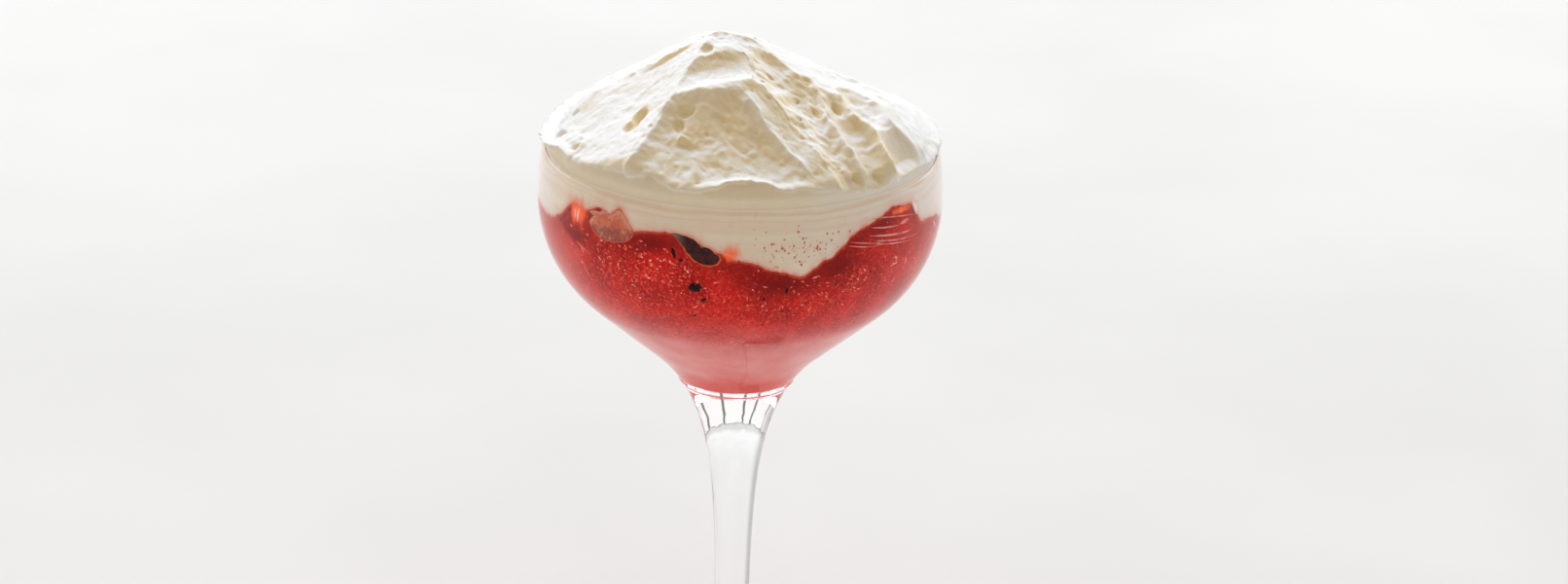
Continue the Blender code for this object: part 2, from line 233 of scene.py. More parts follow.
def flat_hills(x, y, cell, layers, level=0.0):
    """The same hills over a plane that lies askew in the lattice, so that its rows do not show."""
    return hills(np.stack([x, y, np.full_like(x, level)], axis=-1) @ ASKEW, cell, layers)


def round_hills(angle, shift, cell, layers):
    """Hills on a circle as wide as the belly, so that they close after a full turn."""
    around = np.stack([np.sin(angle), np.cos(angle), 0 * angle], axis=-1) * BELLY_RADIUS
    return hills(around + shift, cell, layers)


print(f"noise lattice of {LATTICE.size} numbers")

# %% [markdown]
# Where two things meet, one has to fade into the other, and where a shape is known at a few
# places only, a curve has to join them. A smooth step does the first. For the second, a curve of
# cubic pieces is used whose slopes are held back, because a free one would swing past its knots.

# %% Smooth steps and curves
def smooth_step(value, low, high):
    """0 below `low`, 1 above `high`, and t*t*(3 - 2t) between."""
    t = np.clip((value - low) / (high - low), 0, 1)
    return t * t * (3 - 2 * t)


def smooth_through(x, knots_x, knots_y):
    """A curve through the knots that never overshoots: cubic pieces with limited slopes."""
    knots_x, knots_y = np.asarray(knots_x, float), np.asarray(knots_y, float)
    steps = np.diff(knots_x)
    slopes = np.diff(knots_y) / steps
    tangents = np.zeros(len(knots_x))
    same_way = slopes[:-1] * slopes[1:] > 0
    weight_a, weight_b = 2 * steps[1:] + steps[:-1], steps[1:] + 2 * steps[:-1]
    safe = np.where(same_way, slopes[:-1] * slopes[1:], 1.0)
    mean = (weight_a + weight_b) * safe / (weight_a * slopes[1:] + weight_b * slopes[:-1] + 1e-30)
    tangents[1:-1] = np.where(same_way, mean, 0.0)
    tangents[0], tangents[-1] = slopes[0], slopes[-1]
    k = np.clip(np.searchsorted(knots_x, x) - 1, 0, len(steps) - 1)
    t = (x - knots_x[k]) / steps[k]
    return (
        (1 + 2 * t) * (1 - t) ** 2 * knots_y[k]
        + t * (1 - t) ** 2 * steps[k] * tangents[k]
        + t**2 * (3 - 2 * t) * knots_y[k + 1]
        - t**2 * (1 - t) * steps[k] * tangents[k + 1]
    )


def closed_knots(table):
    """A table's degrees and values, its last row also put before the first and its first at the end."""
    degrees, values = (np.array(column, float) for column in zip(*table))
    degrees = np.concatenate([[degrees[-1] - 360], degrees, [degrees[0] + 360]])
    return degrees, np.concatenate([[values[-1]], values, [values[0]]])


def round_table(angle, table):
    """Values given at angles in degrees, joined smoothly all the way round."""
    degrees, values = closed_knots(table)
    turned = (np.degrees(angle) - degrees[1]) % 360 + degrees[1]
    return smooth_through(turned, degrees, values)


print(f"a quarter of the way up, a smooth step is at {smooth_step(0.25, 0, 1):.2f}")

# %% [markdown]
# ## Materials written as sums
#
# A node tree is easier to read as arithmetic. A small class wraps a socket, and adding or
# multiplying such sockets in Python adds the Math node that does it.

# %% Shader arithmetic
class Wire:
    """A socket that can be added, subtracted and multiplied in Python, from either side."""

    def __init__(self, recipe, socket):
        self.recipe, self.socket = recipe, socket

    def maths(self, operation, *numbers):
        """The Math node that works out an operation on sockets or numbers."""
        return self.recipe.node("ShaderNodeMath", {"operation": operation}, dict(enumerate(numbers)))

    def __add__(self, other):
        return self.maths("ADD", self, other)

    def __sub__(self, other):
        return self.maths("SUBTRACT", self, other)

    def __rsub__(self, other):
        return self.maths("SUBTRACT", other, self)

    def __mul__(self, other):
        return self.maths("MULTIPLY", self, other)

    def __abs__(self):
        return self.maths("ABSOLUTE", self)

    __radd__, __rmul__ = __add__, __mul__

    def between(self, low, high):
        """0 at `low`, 1 at `high`, smooth between; `low` may be the larger one."""
        ends = {"Value": self, "From Min": low, "From Max": high}
        return self.recipe.node("ShaderNodeMapRange", {"interpolation_type": "SMOOTHSTEP"}, ends)


print(Wire.__doc__)

# %% [markdown]
# Every other kind of node comes from one method, which sets the node's options, then its sockets.
# Colours are mixed and laid over one another by nodes of their own, because a Math node would
# turn them grey.

# %% A tree and its nodes
class Tree:
    """The node tree of a material or of the room, whose nodes all come from one method."""

    def __init__(self, owner):
        owner.use_nodes = True
        self.owner = owner
        self.nodes = owner.node_tree.nodes

    def feed(self, socket, value):
        """Links a wire to a socket, or sets the socket to a number, a vector or a colour."""
        if isinstance(value, Wire):
            self.owner.node_tree.links.new(value.socket, socket)
        elif isinstance(value, tuple) and socket.type == "RGBA":
            socket.default_value = (*value, 1.0)
        else:
            socket.default_value = value

    def node(self, kind, settings=(), inputs=(), output=0):
        """Adds a node of a kind, with its settings and its sockets' values, and gives an output."""
        made = self.nodes.new(kind)
        for title, value in dict(settings).items():
            setattr(made, title, value)
        for title, value in dict(inputs).items():
            self.feed(made.inputs[title], value)
        return Wire(self, made.outputs[output])

    def along(self, axis, vector):
        """One coordinate of a vector."""
        return self.node("ShaderNodeSeparateXYZ", {}, {0: vector}, output=axis)

    def vector(self, operation, *inputs):
        """A vector worked out from others."""
        return self.node("ShaderNodeVectorMath", {"operation": operation}, dict(enumerate(inputs)))

    def mix(self, share, first, second):
        """A colour between two colours."""
        ends = {0: share, 6: first, 7: second}
        return self.node("ShaderNodeMix", {"data_type": "RGBA"}, ends, output=2)

    def layered(self, tone, *layers):
        """A colour with others laid over it in turn, each given as its share and its colour."""
        for share, colour in layers:
            tone = self.mix(share, tone, colour)
        return tone


print(Tree.__doc__)

# %% [markdown]
# A finish of this dessert always has one Principled shader, and its patterns always lie on the
# object's own place, measured in millimetres. A recipe is such a tree with the patterns ready to
# use: noise, the height over the table, numbers painted on the mesh, and small relief.

# %% Recipes
class Recipe(Tree):
    """A material round one Principled BSDF, with patterns laid on the object's own place."""

    def __init__(self, name, **values):
        super().__init__(bpy.data.materials.new(name))
        self.shader = self.nodes["Principled BSDF"]
        place_in_metres = self.node("ShaderNodeTexCoord", output="Object")
        self.place = self.node(
            "ShaderNodeVectorMath", {"operation": "SCALE"}, {0: place_in_metres, "Scale": 1 / MM}
        )
        for title, value in values.items():
            self.set(title.replace("_", " ").title().replace("Ior", "IOR"), value)

    def set(self, title, value):
        """Sets an input of the shader to a constant, or feeds a wire into it."""
        self.feed(self.shader.inputs[title], value)

    def noise(self, cell, detail=2.0, place=None, roughness=0.5):
        """Noise from 0 to 1 with hills `cell` millimetres apart."""
        sockets = {"Vector": place or self.place, "Scale": 1 / cell}
        return self.node("ShaderNodeTexNoise", {}, sockets | {"Detail": detail, "Roughness": roughness})

    def uneven(self, cell, amount, detail=2.0):
        """Noise from -amount / 2 to amount / 2, which makes a straight edge wander."""
        return (self.noise(cell, detail) - 0.5) * amount

    def height(self):
        """Height over the table, in millimetres."""
        return self.along("Z", self.place)

    def stretched(self, x, y, z):
        """The place, drawn out by these factors, for a pattern with a grain."""
        return self.vector("DIVIDE", self.place, (x, y, z))

    def painted(self, name):
        """Numbers that were painted on the mesh."""
        return self.node("ShaderNodeAttribute", {"attribute_name": name}, output="Fac")

    def bump(self, height, distance, strength):
        """Small relief: `height` times `distance` millimetres, seen only in the shading."""
        sockets = {"Height": height, "Distance": distance * MM, "Strength": strength}
        return self.node("ShaderNodeBump", {}, sockets)


print(Recipe.__doc__)

# %% [markdown]
# ## The glass
#
# A coupe is blown round, so it is a profile turned about its axis: a slow curve from rim to
# belly, a tight shoulder, a straight side, and a stem drawn out of the same gather. The bowl
# comes first, as arcs that touch each other, because the food needs its inside too.

# %% Bowl
# A drop or depth counts down from the rim, and a rise counts up from the table.
BELLY_DROP = 12
LIP_ARC = 72
SHOULDER_ARC = 34
CONE_SLOPE = 1.16
WALL = 1.3
BOWL_DEPTH = 59


def arc(centre_r, centre_z, radius, start, stop, steps):
    """Radius and height of points on a circle, between two angles in radians."""
    angles = np.linspace(start, stop, steps)
    return np.stack([centre_r + radius * np.cos(angles), centre_z + radius * np.sin(angles)], axis=1)


def bowl_side(inset, steps_up, steps_round):
    """Rim to the foot of the shoulder, moved in by `inset`: a wide arc, then a tighter one."""
    rise = math.asin(BELLY_DROP / LIP_ARC)
    turn = math.atan(CONE_SLOPE)
    upper = arc(BELLY_RADIUS - LIP_ARC, -BELLY_DROP, LIP_ARC - inset, rise, 0, steps_up)
    lower = arc(BELLY_RADIUS - SHOULDER_ARC, -BELLY_DROP, SHOULDER_ARC - inset, 0, -turn, steps_round)
    return np.concatenate([upper, lower[1:]])


def inside_profile(steps_up, steps_round, steps_bottom):
    """The bowl's inside from rim to axis; a sphere that the straight side touches closes it."""
    side = bowl_side(WALL, steps_up, steps_round)
    tilt = math.atan(CONE_SLOPE)
    shoulder_r, shoulder_z = side[-1]
    radius = (shoulder_r - CONE_SLOPE * (shoulder_z + BOWL_DEPTH)) / (
        math.cos(tilt) - CONE_SLOPE * (1 - math.sin(tilt))
    )
    bottom = arc(0, radius - BOWL_DEPTH, radius, -tilt, -math.pi / 2, steps_bottom)
    return np.concatenate([side, bottom])


print(f"bowl {BOWL_DEPTH} mm deep, wall {WALL} mm")

# %% [markdown]
# The stem starts as wide as the straight side is there, and thins away like an exponential to
# the radius it was drawn to. The foot is a flat cone, with a curve of the same kind up to the
# stem.

# %% Stem and foot
FLARE_DROP = 52
FLARE_LENGTH = 15
STEM_RADIUS = 4.1
SEAM_DROP = 59.8
SEAM_HEIGHT, SEAM_WIDTH = 0.3, 0.7
SEAM_RINGS, SEAM_REACH = 28, 2.2
FOOT_RADIUS = 36
FOOT_EDGE = 2.2
FOOT_RISE = 3.4
NECK_RISE = 15
NECK_LENGTH = 2.6


def stem_side(steps):
    """Radius = stem + (flare - stem) * exp(-drop / flare length), down to the foot's neck.

    Where stem and bowl were joined, a seam of a few tenths stands out, with rings set closer.
    """
    bottom = FOOT_EDGE + FOOT_RISE + NECK_RISE - RIM_HEIGHT
    shoulder_r, shoulder_z = bowl_side(0, 2, 2)[-1]
    flare = shoulder_r - CONE_SLOPE * (shoulder_z + FLARE_DROP)
    drops = (-FLARE_DROP - bottom) * np.linspace(0, 1, steps) ** 1.5
    at_seam = SEAM_DROP - FLARE_DROP + np.linspace(-SEAM_REACH, SEAM_REACH, SEAM_RINGS)
    drops = np.sort(np.concatenate([drops, at_seam]))
    radii = STEM_RADIUS + (flare - STEM_RADIUS) * np.exp(-drops / FLARE_LENGTH)
    seam = SEAM_HEIGHT * np.exp(-(((FLARE_DROP + drops - SEAM_DROP) / SEAM_WIDTH) ** 2))
    return np.stack([radii + seam, -FLARE_DROP - drops], axis=1)


def foot_side(steps):
    """The foot's upper side: a flat cone plus a steep exponential at the stem."""
    radii = STEM_RADIUS + (FOOT_RADIUS - STEM_RADIUS) * np.linspace(0, 1, steps)[1:] ** 2.2
    steep = NECK_RISE * np.exp(-(radii - STEM_RADIUS) / NECK_LENGTH)
    heights = FOOT_EDGE + FOOT_RISE * (1 - radii / FOOT_RADIUS) + steep
    return np.stack([radii, heights - RIM_HEIGHT], axis=1)


print(f"stem {2 * STEM_RADIUS} mm thick, foot {2 * FOOT_RADIUS} mm across")

# %% [markdown]
# The section of the glass is one line: from the inside's lowest point up to the rounded rim, down
# the outside, round the foot's edge and under it, where it is hollowed a little. Turned about the
# axis it is the whole glass, and a few hundred columns keep its outline clean.

# %% The whole section
FOOT_HOLLOW = 1.1
HOLLOW_RADIUS = 24
GLASS_COLUMNS = 256


def glass_profile():
    """The whole section as one line from the inside's lowest point to the foot's underside."""
    inside = inside_profile(steps_up=22, steps_round=26, steps_bottom=20)[::-1]
    outside = bowl_side(0, steps_up=22, steps_round=30)
    half_wall, half_edge = WALL / 2, FOOT_EDGE / 2
    rim_r = (inside[-1, 0] + outside[0, 0]) / 2
    rim = arc(rim_r, -half_wall, half_wall, math.pi, 0, 13)
    edge_z = half_edge - RIM_HEIGHT
    edge = arc(FOOT_RADIUS - half_edge, edge_z, half_edge, math.pi / 2, -math.pi / 2, 13)
    hollow_r = np.linspace(HOLLOW_RADIUS, 0, 12)
    hollow_z = FOOT_HOLLOW * (1 - (hollow_r / HOLLOW_RADIUS) ** 2) - RIM_HEIGHT
    hollow = np.stack([hollow_r, hollow_z], axis=1)
    inside, outside = (side[side[:, 1] < -half_wall] for side in (inside, outside))
    return np.concatenate([inside, rim, outside, stem_side(130), foot_side(36)[:-1], edge, hollow])


profile = glass_profile()
round_angles = np.linspace(-math.pi, math.pi, GLASS_COLUMNS, endpoint=False)
glass_rings = round_points(profile[:, :1], profile[:, 1:], round_angles)
glass_mesh = round_body("coupe_glass_skin", glass_rings)

# %% [markdown]
# Clear glass has almost no colour of its own; what is seen is what it bends and mirrors. A lamp
# cannot be found by rays that bend, so for shadow rays and for light on its way from the food
# the glass is simply transparent, which lights the food as brightly as through a real wall.
# Blown glass is never quite true: a faint waviness makes its reflections wander, and the drawn
# stem has fine streaks along it. A stem shows the whole room squeezed together, with the dark
# side of the room on its right, and a grey tint painted there is painted shade for that side.

# %% Clear glass
clear = Recipe(
    "clear blown glass",
    roughness=0.0,
    ior=1.5,
    transmission_weight=1.0,
    specular_tint=(0.2, 0.2, 0.2),
)
waves = clear.noise(9, detail=1.0, place=clear.stretched(1, 1, 0.35))
streaks = clear.noise(1.8, detail=1.0, place=clear.stretched(1, 1, 14))
drawn = streaks * clear.height().between(98, 90)
clear.set("Normal", clear.bump(waves * 0.05 + drawn * 0.22, 1.0, 0.5))

# Painted shade: a grey tint on the stem's right side stands for the dark side of the room.
sideways = clear.vector("NORMALIZE", clear.vector("MULTIPLY", clear.place, (1, 1, 0)))
painted_room_shade = clear.along("X", sideways).between(0.66, 0.90) * clear.height().between(104, 96)
clear.set("Base Color", clear.mix(painted_room_shade, (1.0, 1.0, 1.0), (0.34, 0.35, 0.36)))

casts_shadow = clear.node("ShaderNodeLightPath", output="Is Shadow Ray")
lights_food = clear.node("ShaderNodeLightPath", output="Is Diffuse Ray")
straight_through = casts_shadow.maths("MAXIMUM", casts_shadow, lights_food)
see_through = clear.node("ShaderNodeBsdfTransparent", {}, {"Color": (0.94, 0.95, 0.95)})
glass_shader = Wire(clear, clear.shader.outputs["BSDF"])
either = {0: straight_through, 1: glass_shader, 2: see_through}
mixed = clear.node("ShaderNodeMixShader", {}, either)
clear.feed(clear.nodes["Material Output"].inputs["Surface"], mixed)
place(glass_mesh, clear, "clear_glass", "coupe_glass")

# %% [markdown]
# ## Where granita and cream meet
#
# Both pieces share one uneven line at the wall, so it is written once: its height at a few
# angles round the glass, joined smoothly, with small crumbs of ice added. The food is made to
# reach a tenth of a millimetre or so into the wall of the glass. If it stopped at the wall, a
# film of air would show there and mirror like silver; wet food has no such film.

# %% The line at the wall
# Each knot: angle in degrees, from the front to the right, and height over the rim.
SNOW_LINE = (
    (-180, -7), (-150, -11), (-120, -6), (-95, -12), (-72, -12.5), (-65, -11.8), (-60, -10),
    (-54, -5.5), (-48, -6), (-43, -4), (-39, -5), (-35, -3.4), (-31, -7.5), (-21, -6.5),
    (-15, -6.5), (-9, -8.8), (-3, -10.6), (3, -12.1), (6, -12.9), (10.5, -14.2), (13.5, -15.1),
    (17, -15.9), (20, -15.6), (22, -14.6), (24, -13.3), (27.5, -12.4), (29.2, -10.8), (31.5, -9.6),
    (33.2, -8), (36.6, -6.8), (42.5, -5.5), (50, -3.8), (57, -4.4), (64, -10.7), (72, -11.4),
    (82, -14), (105, -8), (130, -13), (157, -9),
)
GRANITA_INTO_WALL = 0.10
CREAM_INTO_WALL = 0.15
FOOD_COLUMNS = 512
FRONT_CROWDING = 0.6

even = np.linspace(-math.pi, math.pi, FOOD_COLUMNS, endpoint=False)
food_angles = even - FRONT_CROWDING * np.sin(even)
food_degrees = np.degrees(food_angles)
wall_table = inside_profile(60, 80, 60)[::-1]


def wall_radius(height):
    """Radius of the bowl's inside at a height, which is negative below the rim."""
    return np.interp(height, wall_table[:, 1], wall_table[:, 0])


def snow_line(angle):
    """Height of the line at the wall for angles in radians, with crumbs of 0.5 and 0.3 mm."""
    smooth = smooth_through(np.degrees(angle), *closed_knots(SNOW_LINE))
    return smooth + 0.5 * round_hills(angle, 0, 4.0, 2) + 0.3 * round_hills(angle, 40, 1.1, 2)


snow_edge = snow_line(food_angles)
line_slope = np.gradient(snow_edge) / (np.gradient(food_angles) * BELLY_RADIUS)
print(f"line between {snow_edge.min():.1f} and {snow_edge.max():.1f} mm over the rim")

# %% [markdown]
# Two bits of fruit were pressed against the glass as the bowl was filled: a torn piece of dark
# berry and a chunk of pale fruit. Their outlines are written here because the ice round them
# takes notice of them: light that passes the fruit is caught in a thin orange line.

# %% Fruit outlines
# Each outline: angle and height of its corners on the wall, going round.
BERRY = (
    (-18.3, -6.2), (-15.3, -6.5), (-13.3, -6.9), (-11.1, -7.9), (-9.9, -9.1), (-8.9, -8.8),
    (-7.2, -9.2), (-6.1, -10.3), (-5.1, -10.5), (-4.6, -11.5), (-5.3, -12.6), (-6.9, -13.1),
    (-8.8, -13.1), (-10.9, -12.4), (-12.9, -11.0), (-14.5, -9.4), (-16.3, -7.9),
)
CHUNK = (
    (-46.8, -6.0), (-44.4, -6.4), (-42.6, -5.2), (-40.2, -4.4), (-38.9, -5.4), (-37.3, -4.6),
    (-35.4, -3.2), (-33.6, -4.2), (-31.9, -5.8), (-30.2, -7.4), (-30.4, -8.8), (-32, -10.2),
    (-34.8, -11), (-38.2, -11.4), (-41.9, -11.2), (-44.5, -10.1), (-46.3, -8.3),
)
# The pale chunk throws a fainter line than the berry, so it counts as this much farther away.
CHUNK_GAP = 0.3


def outline_reach(outline, direction):
    """Centre of an outline on the wall in millimetres, and its reach in each direction."""
    corners = np.array(outline, float) * (math.radians(BELLY_RADIUS), 1)
    centre = (corners.max(axis=0) + corners.min(axis=0)) / 2
    u, v = (corners - centre).T
    at = np.arctan2(v, u)
    order = np.argsort(at)
    return centre, np.interp(direction, at[order], np.hypot(u, v)[order], period=2 * math.pi)


def from_fruit(angle, height):
    """How far a place on the wall lies outside the nearer fruit outline, in millimetres."""
    distances = []
    for outline, gap in ((BERRY, 0), (CHUNK, CHUNK_GAP)):
        centre = outline_reach(outline, 0.0)[0]
        u, v = angle * BELLY_RADIUS - centre[0], height - centre[1]
        distances.append(np.hypot(u, v) - outline_reach(outline, np.arctan2(v, u))[1] + gap)
    return np.minimum(*distances)


print(f"outlines of {len(BERRY)} and {len(CHUNK)} corners")

# %% [markdown]
# In a few other places thin syrup lets the light through like a flame, and in some it lies deep
# and dark; the first dark patch, high on the left, is painted shade. Both are soft round patches
# on the wall.

# %% Flames, deep pools and painted shade
# Each patch: angle, height, half width and half height in millimetres.
FLAMES = (
    (-51.3, -7.3, 3.6, 3.3), (-1.6, -10.1, 2.3, 2.2), (52.5, -5.0, 4.0, 0.9), (54, -8.0, 2.0, 0.5),
    (110, -9.5, 4.0, 1.8), (-140, -11, 5.0, 1.6), (175, -9, 4.0, 1.6),
)
# The first dark patch, high on the left, is painted shade.
DEEP_POOLS_AND_SHADE = (
    (-51.5, -13.0, 5.0, 2.0), (45.5, -6.7, 2.6, 0.7), (-24, -9.5, 4.0, 2.0), (12, -18.0, 9.0, 2.6),
    (30, -15.0, 5.0, 3.0), (140, -18, 12.0, 4.0), (-120, -17, 10.0, 4.0),
)


def patches(angle, height, table):
    """Sum over the patches of exp(-(across / half width)^2 - (up / half height)^2)."""
    total = 0
    for middle, middle_height, half_width, half_height in table:
        turned = (angle - math.radians(middle) + math.pi) % (2 * math.pi) - math.pi
        across = turned * BELLY_RADIUS / half_width
        total = total + np.exp(-(across**2) - ((height - middle_height) / half_height) ** 2)
    return total


print(f"{len(FLAMES)} flames, {len(DEEP_POOLS_AND_SHADE)} deep pools")

# %% [markdown]
# At both sides a pale painted reflection lies on the filling, up to a slanting edge. This, the
# flames and the light round the fruit cross the line between granita and cream, so one function
# paints them on either skin.

# %% Painted reflection at the sides
def frosted(angle, height):
    """1 by the sides, where a pale reflection is painted; the left part has a slanting edge."""
    degrees = np.degrees(angle)
    left_edge = np.interp(height, (-17, -13.4, -10.7, -8), (-49.5, -56.5, -62.5, -66))
    softness = np.interp(height, (-26, -17, -10, -4), (14, 0.8, 0.8, 5))
    left = smooth_step((left_edge - degrees) / softness, -0.5, 1) * smooth_step(degrees, -120, -85)
    return left + smooth_step(degrees, 40, 74) * smooth_step(-degrees, -120, -85)


def paint_what_both_share(mesh, heights):
    """Paints the flames, the painted reflection at the sides and the distance from the fruit on granita or
    cream.
    """
    paint(mesh, "lit_syrup", patches(food_angles, heights, FLAMES))
    paint(mesh, "frosted", frosted(food_angles, heights))
    paint(mesh, "from_fruit", from_fruit(food_angles, heights))


print(f"{(frosted(food_angles, snow_edge) > 0.5).sum()} of {FOOD_COLUMNS} columns frosted")

# %% [markdown]
# ## Granita
#
# The granita is scraped ice packed into the bowl, and only its side is seen, pressed flat by the
# glass. So the skin follows the wall exactly, and all its interest is in the finish. Its top goes
# up a little behind the cream and then across, out of sight. Near the cream the light comes
# through the syrup and glows orange, so each point is painted with how far under the line it is,
# and with the flames, the deep pools and painted shade, the painted reflection at the sides and
# how near the fruit is.

# %% Granita skin
TOP_RINGS, WALL_RINGS = 12, 150
BEHIND_CREAM = 1.4
MIDDLE_OF_TOP = -6
# The wall's radius is taken this much higher, so that the skin reaches into a sloping wall too.
LOOK_HIGHER = 0.15

top_share = np.linspace(0, 1, TOP_RINGS)[:, None] ** 0.8
down_share = np.linspace(0, 1, WALL_RINGS)[1:, None]
shoulder = snow_edge + BEHIND_CREAM
bowl_floor = -BOWL_DEPTH - GRANITA_INTO_WALL
top_radius = top_share * (wall_radius(shoulder) + GRANITA_INTO_WALL)
top_height = MIDDLE_OF_TOP + (shoulder - MIDDLE_OF_TOP) * top_share**2 * (3 - 2 * top_share)
side_height = shoulder + (bowl_floor - shoulder) * down_share**0.95
side_radius = wall_radius(side_height + LOOK_HIGHER) + GRANITA_INTO_WALL
side_radius[-1] = 0
granita_radius = np.concatenate([top_radius, side_radius])
granita_height = np.concatenate([top_height, side_height])
granita_rings = round_points(granita_radius, granita_height, food_angles)
granita_mesh = round_body("granita_skin", granita_rings)
paint(granita_mesh, "under_line", (snow_edge - granita_height) / np.sqrt(1 + line_slope**2))
paint(granita_mesh, "deep_syrup", patches(food_angles, granita_height, DEEP_POOLS_AND_SHADE))
paint_what_both_share(granita_mesh, granita_height)

# %% [markdown]
# The finish is laid on in layers: a mottled red body, paler and pinker low in the bowl and
# brighter red at the very bottom, which is painted light, with pale grains and dark gaps;
# painted shade under the cream; deeper where syrup has pooled, and darker in one patch of painted
# shade; a pale painted reflection at the sides; and an orange glow along the line, in the flames
# and round the fruit. Each layer is a mask with a colour, and they are laid over one another in
# turn. Light travels far in wet ice, and red light farthest, which is why the sides of the bowl
# glow.

# %% Strawberry granita
granita = Recipe(
    "strawberry granita",
    roughness=0.6,
    subsurface_weight=0.6,
    subsurface_radius=(1.0, 0.08, 0.06),
    subsurface_scale=8 * MM,
    specular_ior_level=0.05,
    emission_strength=1.0,
)
pools = granita.noise(8, detail=3.0).between(0.28, 0.72)
grain = granita.noise(0.9, detail=4.0, roughness=0.8)
fine_grain = granita.noise(0.45)
up_the_bowl = granita.height() + granita.uneven(12, 8)
# Painted light: the ice is paler and pinker low in the bowl, where it narrows.
painted_light_low_in_bowl = up_the_bowl.between(134, 112)
thick_ice = granita.mix(painted_light_low_in_bowl, (0.86, 0.016, 0.010), (1.0, 0.28, 0.26))
syrup = granita.mix(painted_light_low_in_bowl, (0.55, 0.006, 0.005), (0.92, 0.16, 0.14))
under_line = granita.painted("under_line") + granita.uneven(1.6, 1.2)
tongues = granita.noise(1.6, detail=3.0, place=granita.stretched(1, 1, 2.5))
flame = granita.painted("lit_syrup") + (tongues - 0.5) * 1.2
beside_fruit = granita.painted("from_fruit")

body = granita.layered(
    syrup,
    (pools, thick_ice),
    (up_the_bowl.between(110, 104) * 0.7, (0.80, 0.05, 0.04)),  # painted light: brighter red at the very bottom of the bowl
    (grain.between(0.50, 0.70) * 0.55, (1.0, 0.17, 0.12)),  # pale grains
    (grain.between(0.48, 0.32) * (0.62 - painted_light_low_in_bowl * 0.52), (0.24, 0.003, 0.004)),  # dark gaps
    (fine_grain.between(0.58, 0.70) * 0.38, (1.0, 0.24, 0.17)),
    (under_line.between(6.5, 2.0) * 0.55, (0.36, 0.005, 0.005)),  # shade under the cream
    # darker for deep syrup, and painted shade in the patch high on the left
    (granita.painted("deep_syrup") * 0.85, (0.26, 0.003, 0.004)),
    # painted reflection: pale pink at the sides
    (granita.painted("frosted") * 0.42, (1.0, 0.13, 0.10)),
    (under_line.between(0.9, 0.1) * 0.5, (1.0, 0.16, 0.09)),  # the line itself
    (flame.between(0.1, 0.9), (1.0, 0.13, 0.03)),
    (beside_fruit.between(0.6, 0.2) * tongues.between(0.3, 0.55), (1.0, 0.15, 0.05)),
)
glow = granita.layered(
    (0, 0, 0),
    (under_line.between(0.7, 0.0), (0.06, 0.012, 0.008)),
    (beside_fruit.between(0.45, 0.1) * tongues.between(0.35, 0.6), (0.16, 0.024, 0.008)),
    (flame.between(0.3, 1.1), (0.46, 0.07, 0.03)),
    (flame.between(0.9, 1.2), (0.62, 0.20, 0.12)),
)
granita.set("Base Color", body)
granita.set("Emission Color", glow)
place(granita_mesh, granita, "red_ice", "granita")

# %% [markdown]
# Flat crystals of ice that lie against the glass catch the light as tiny bright commas. They are
# too crisp for noise, so they are made: one comma is a bent, pointed sliver of a few faces, and
# many copies are turned and scattered over the wall. Seeds, specks of syrup in the cream, lines
# of melted ice and a fleck of zest are the same sliver, larger or longer or straighter.

# %% Slivers on the wall
SLIVER_STEPS = 7
SLIVER_DEPTH = 0.1


def slivers(name, rows, into_wall):
    """Many bent slivers flat on the wall as one mesh.

    Each row: angle and height of the middle, length, width, turn in degrees, and bend. A sliver
    lies along an arc; its section is a diamond that swells like sin(pi t)^0.6 and closes at both
    ends. The arc leaves its chord by bend * (1 - (2t - 1)^2).
    """
    angle, height, length, width, turn, bend = np.transpose(rows)[:, :, None, None]
    t = np.linspace(0.015, 0.985, SLIVER_STEPS)[None, :, None]
    swell = np.sin(math.pi * t) ** 0.6
    across_wall, through_wall = np.transpose([(0, 1), (1, 0), (0, -1), (-1, 0)])
    along = (t - 0.5) * length
    across = bend * (1 - (2 * t - 1) ** 2) + width / 2 * swell * across_wall
    c, s = np.cos(np.radians(turn)), np.sin(np.radians(turn))
    heights = height + along * s + across * c
    angles = np.radians(angle) + (along * c - across * s) / BELLY_RADIUS
    radii = wall_radius(heights) + into_wall + SLIVER_DEPTH * swell * through_wall
    corner = np.arange(4)
    beside = (corner + 1) % 4
    rung = 4 * np.arange(SLIVER_STEPS - 1)[:, None]
    sides = np.stack([rung + corner, rung + beside, rung + beside + 4, rung + corner + 4], axis=-1)
    last = 4 * (SLIVER_STEPS - 1)
    faces = np.concatenate([sides.reshape(-1, 4), [corner[::-1]], [last + corner]])
    every = faces + 4 * SLIVER_STEPS * np.arange(len(rows))[:, None, None]
    points = round_points(radii, heights, angles).reshape(-1, 3)
    mesh = skin(name, points, every.reshape(-1, 4).tolist())
    print(f"{name}: {len(rows)} slivers, {2 * len(mesh.polygons)} triangles")
    return mesh


# %% [markdown]
# The crystals lie thickest in a few clouds under the line. Most are small, and a few are large,
# which a high power of an even random number gives. One source of random numbers is used in
# order from here on, so every run scatters them alike.

# %% Ice crystals
# Each cloud: how many, its angle and height, and how far it spreads in degrees and millimetres.
CRYSTAL_CLOUDS = (
    (230, -33, -19, 11, 4.5), (70, -20, -17, 6, 4), (90, -14, -27, 9, 4), (190, 4, -26, 16, 5),
    (130, 30, -22, 9, 4), (80, 44, -20, 10, 5), (90, -2, -42, 25, 5), (120, 120, -25, 40, 9),
    (120, -130, -25, 40, 9),
)
UNDER_THE_LINE, OUTSIDE_FRUIT, LOWEST_CRYSTAL = 1.2, 0.8, -55

dice = np.random.default_rng(11)


def scatter(count, angle, height, wide, tall):
    """A cloud of angles and heights, normally spread."""
    return np.stack([dice.normal(angle, wide, count), dice.normal(height, tall, count)], axis=1)


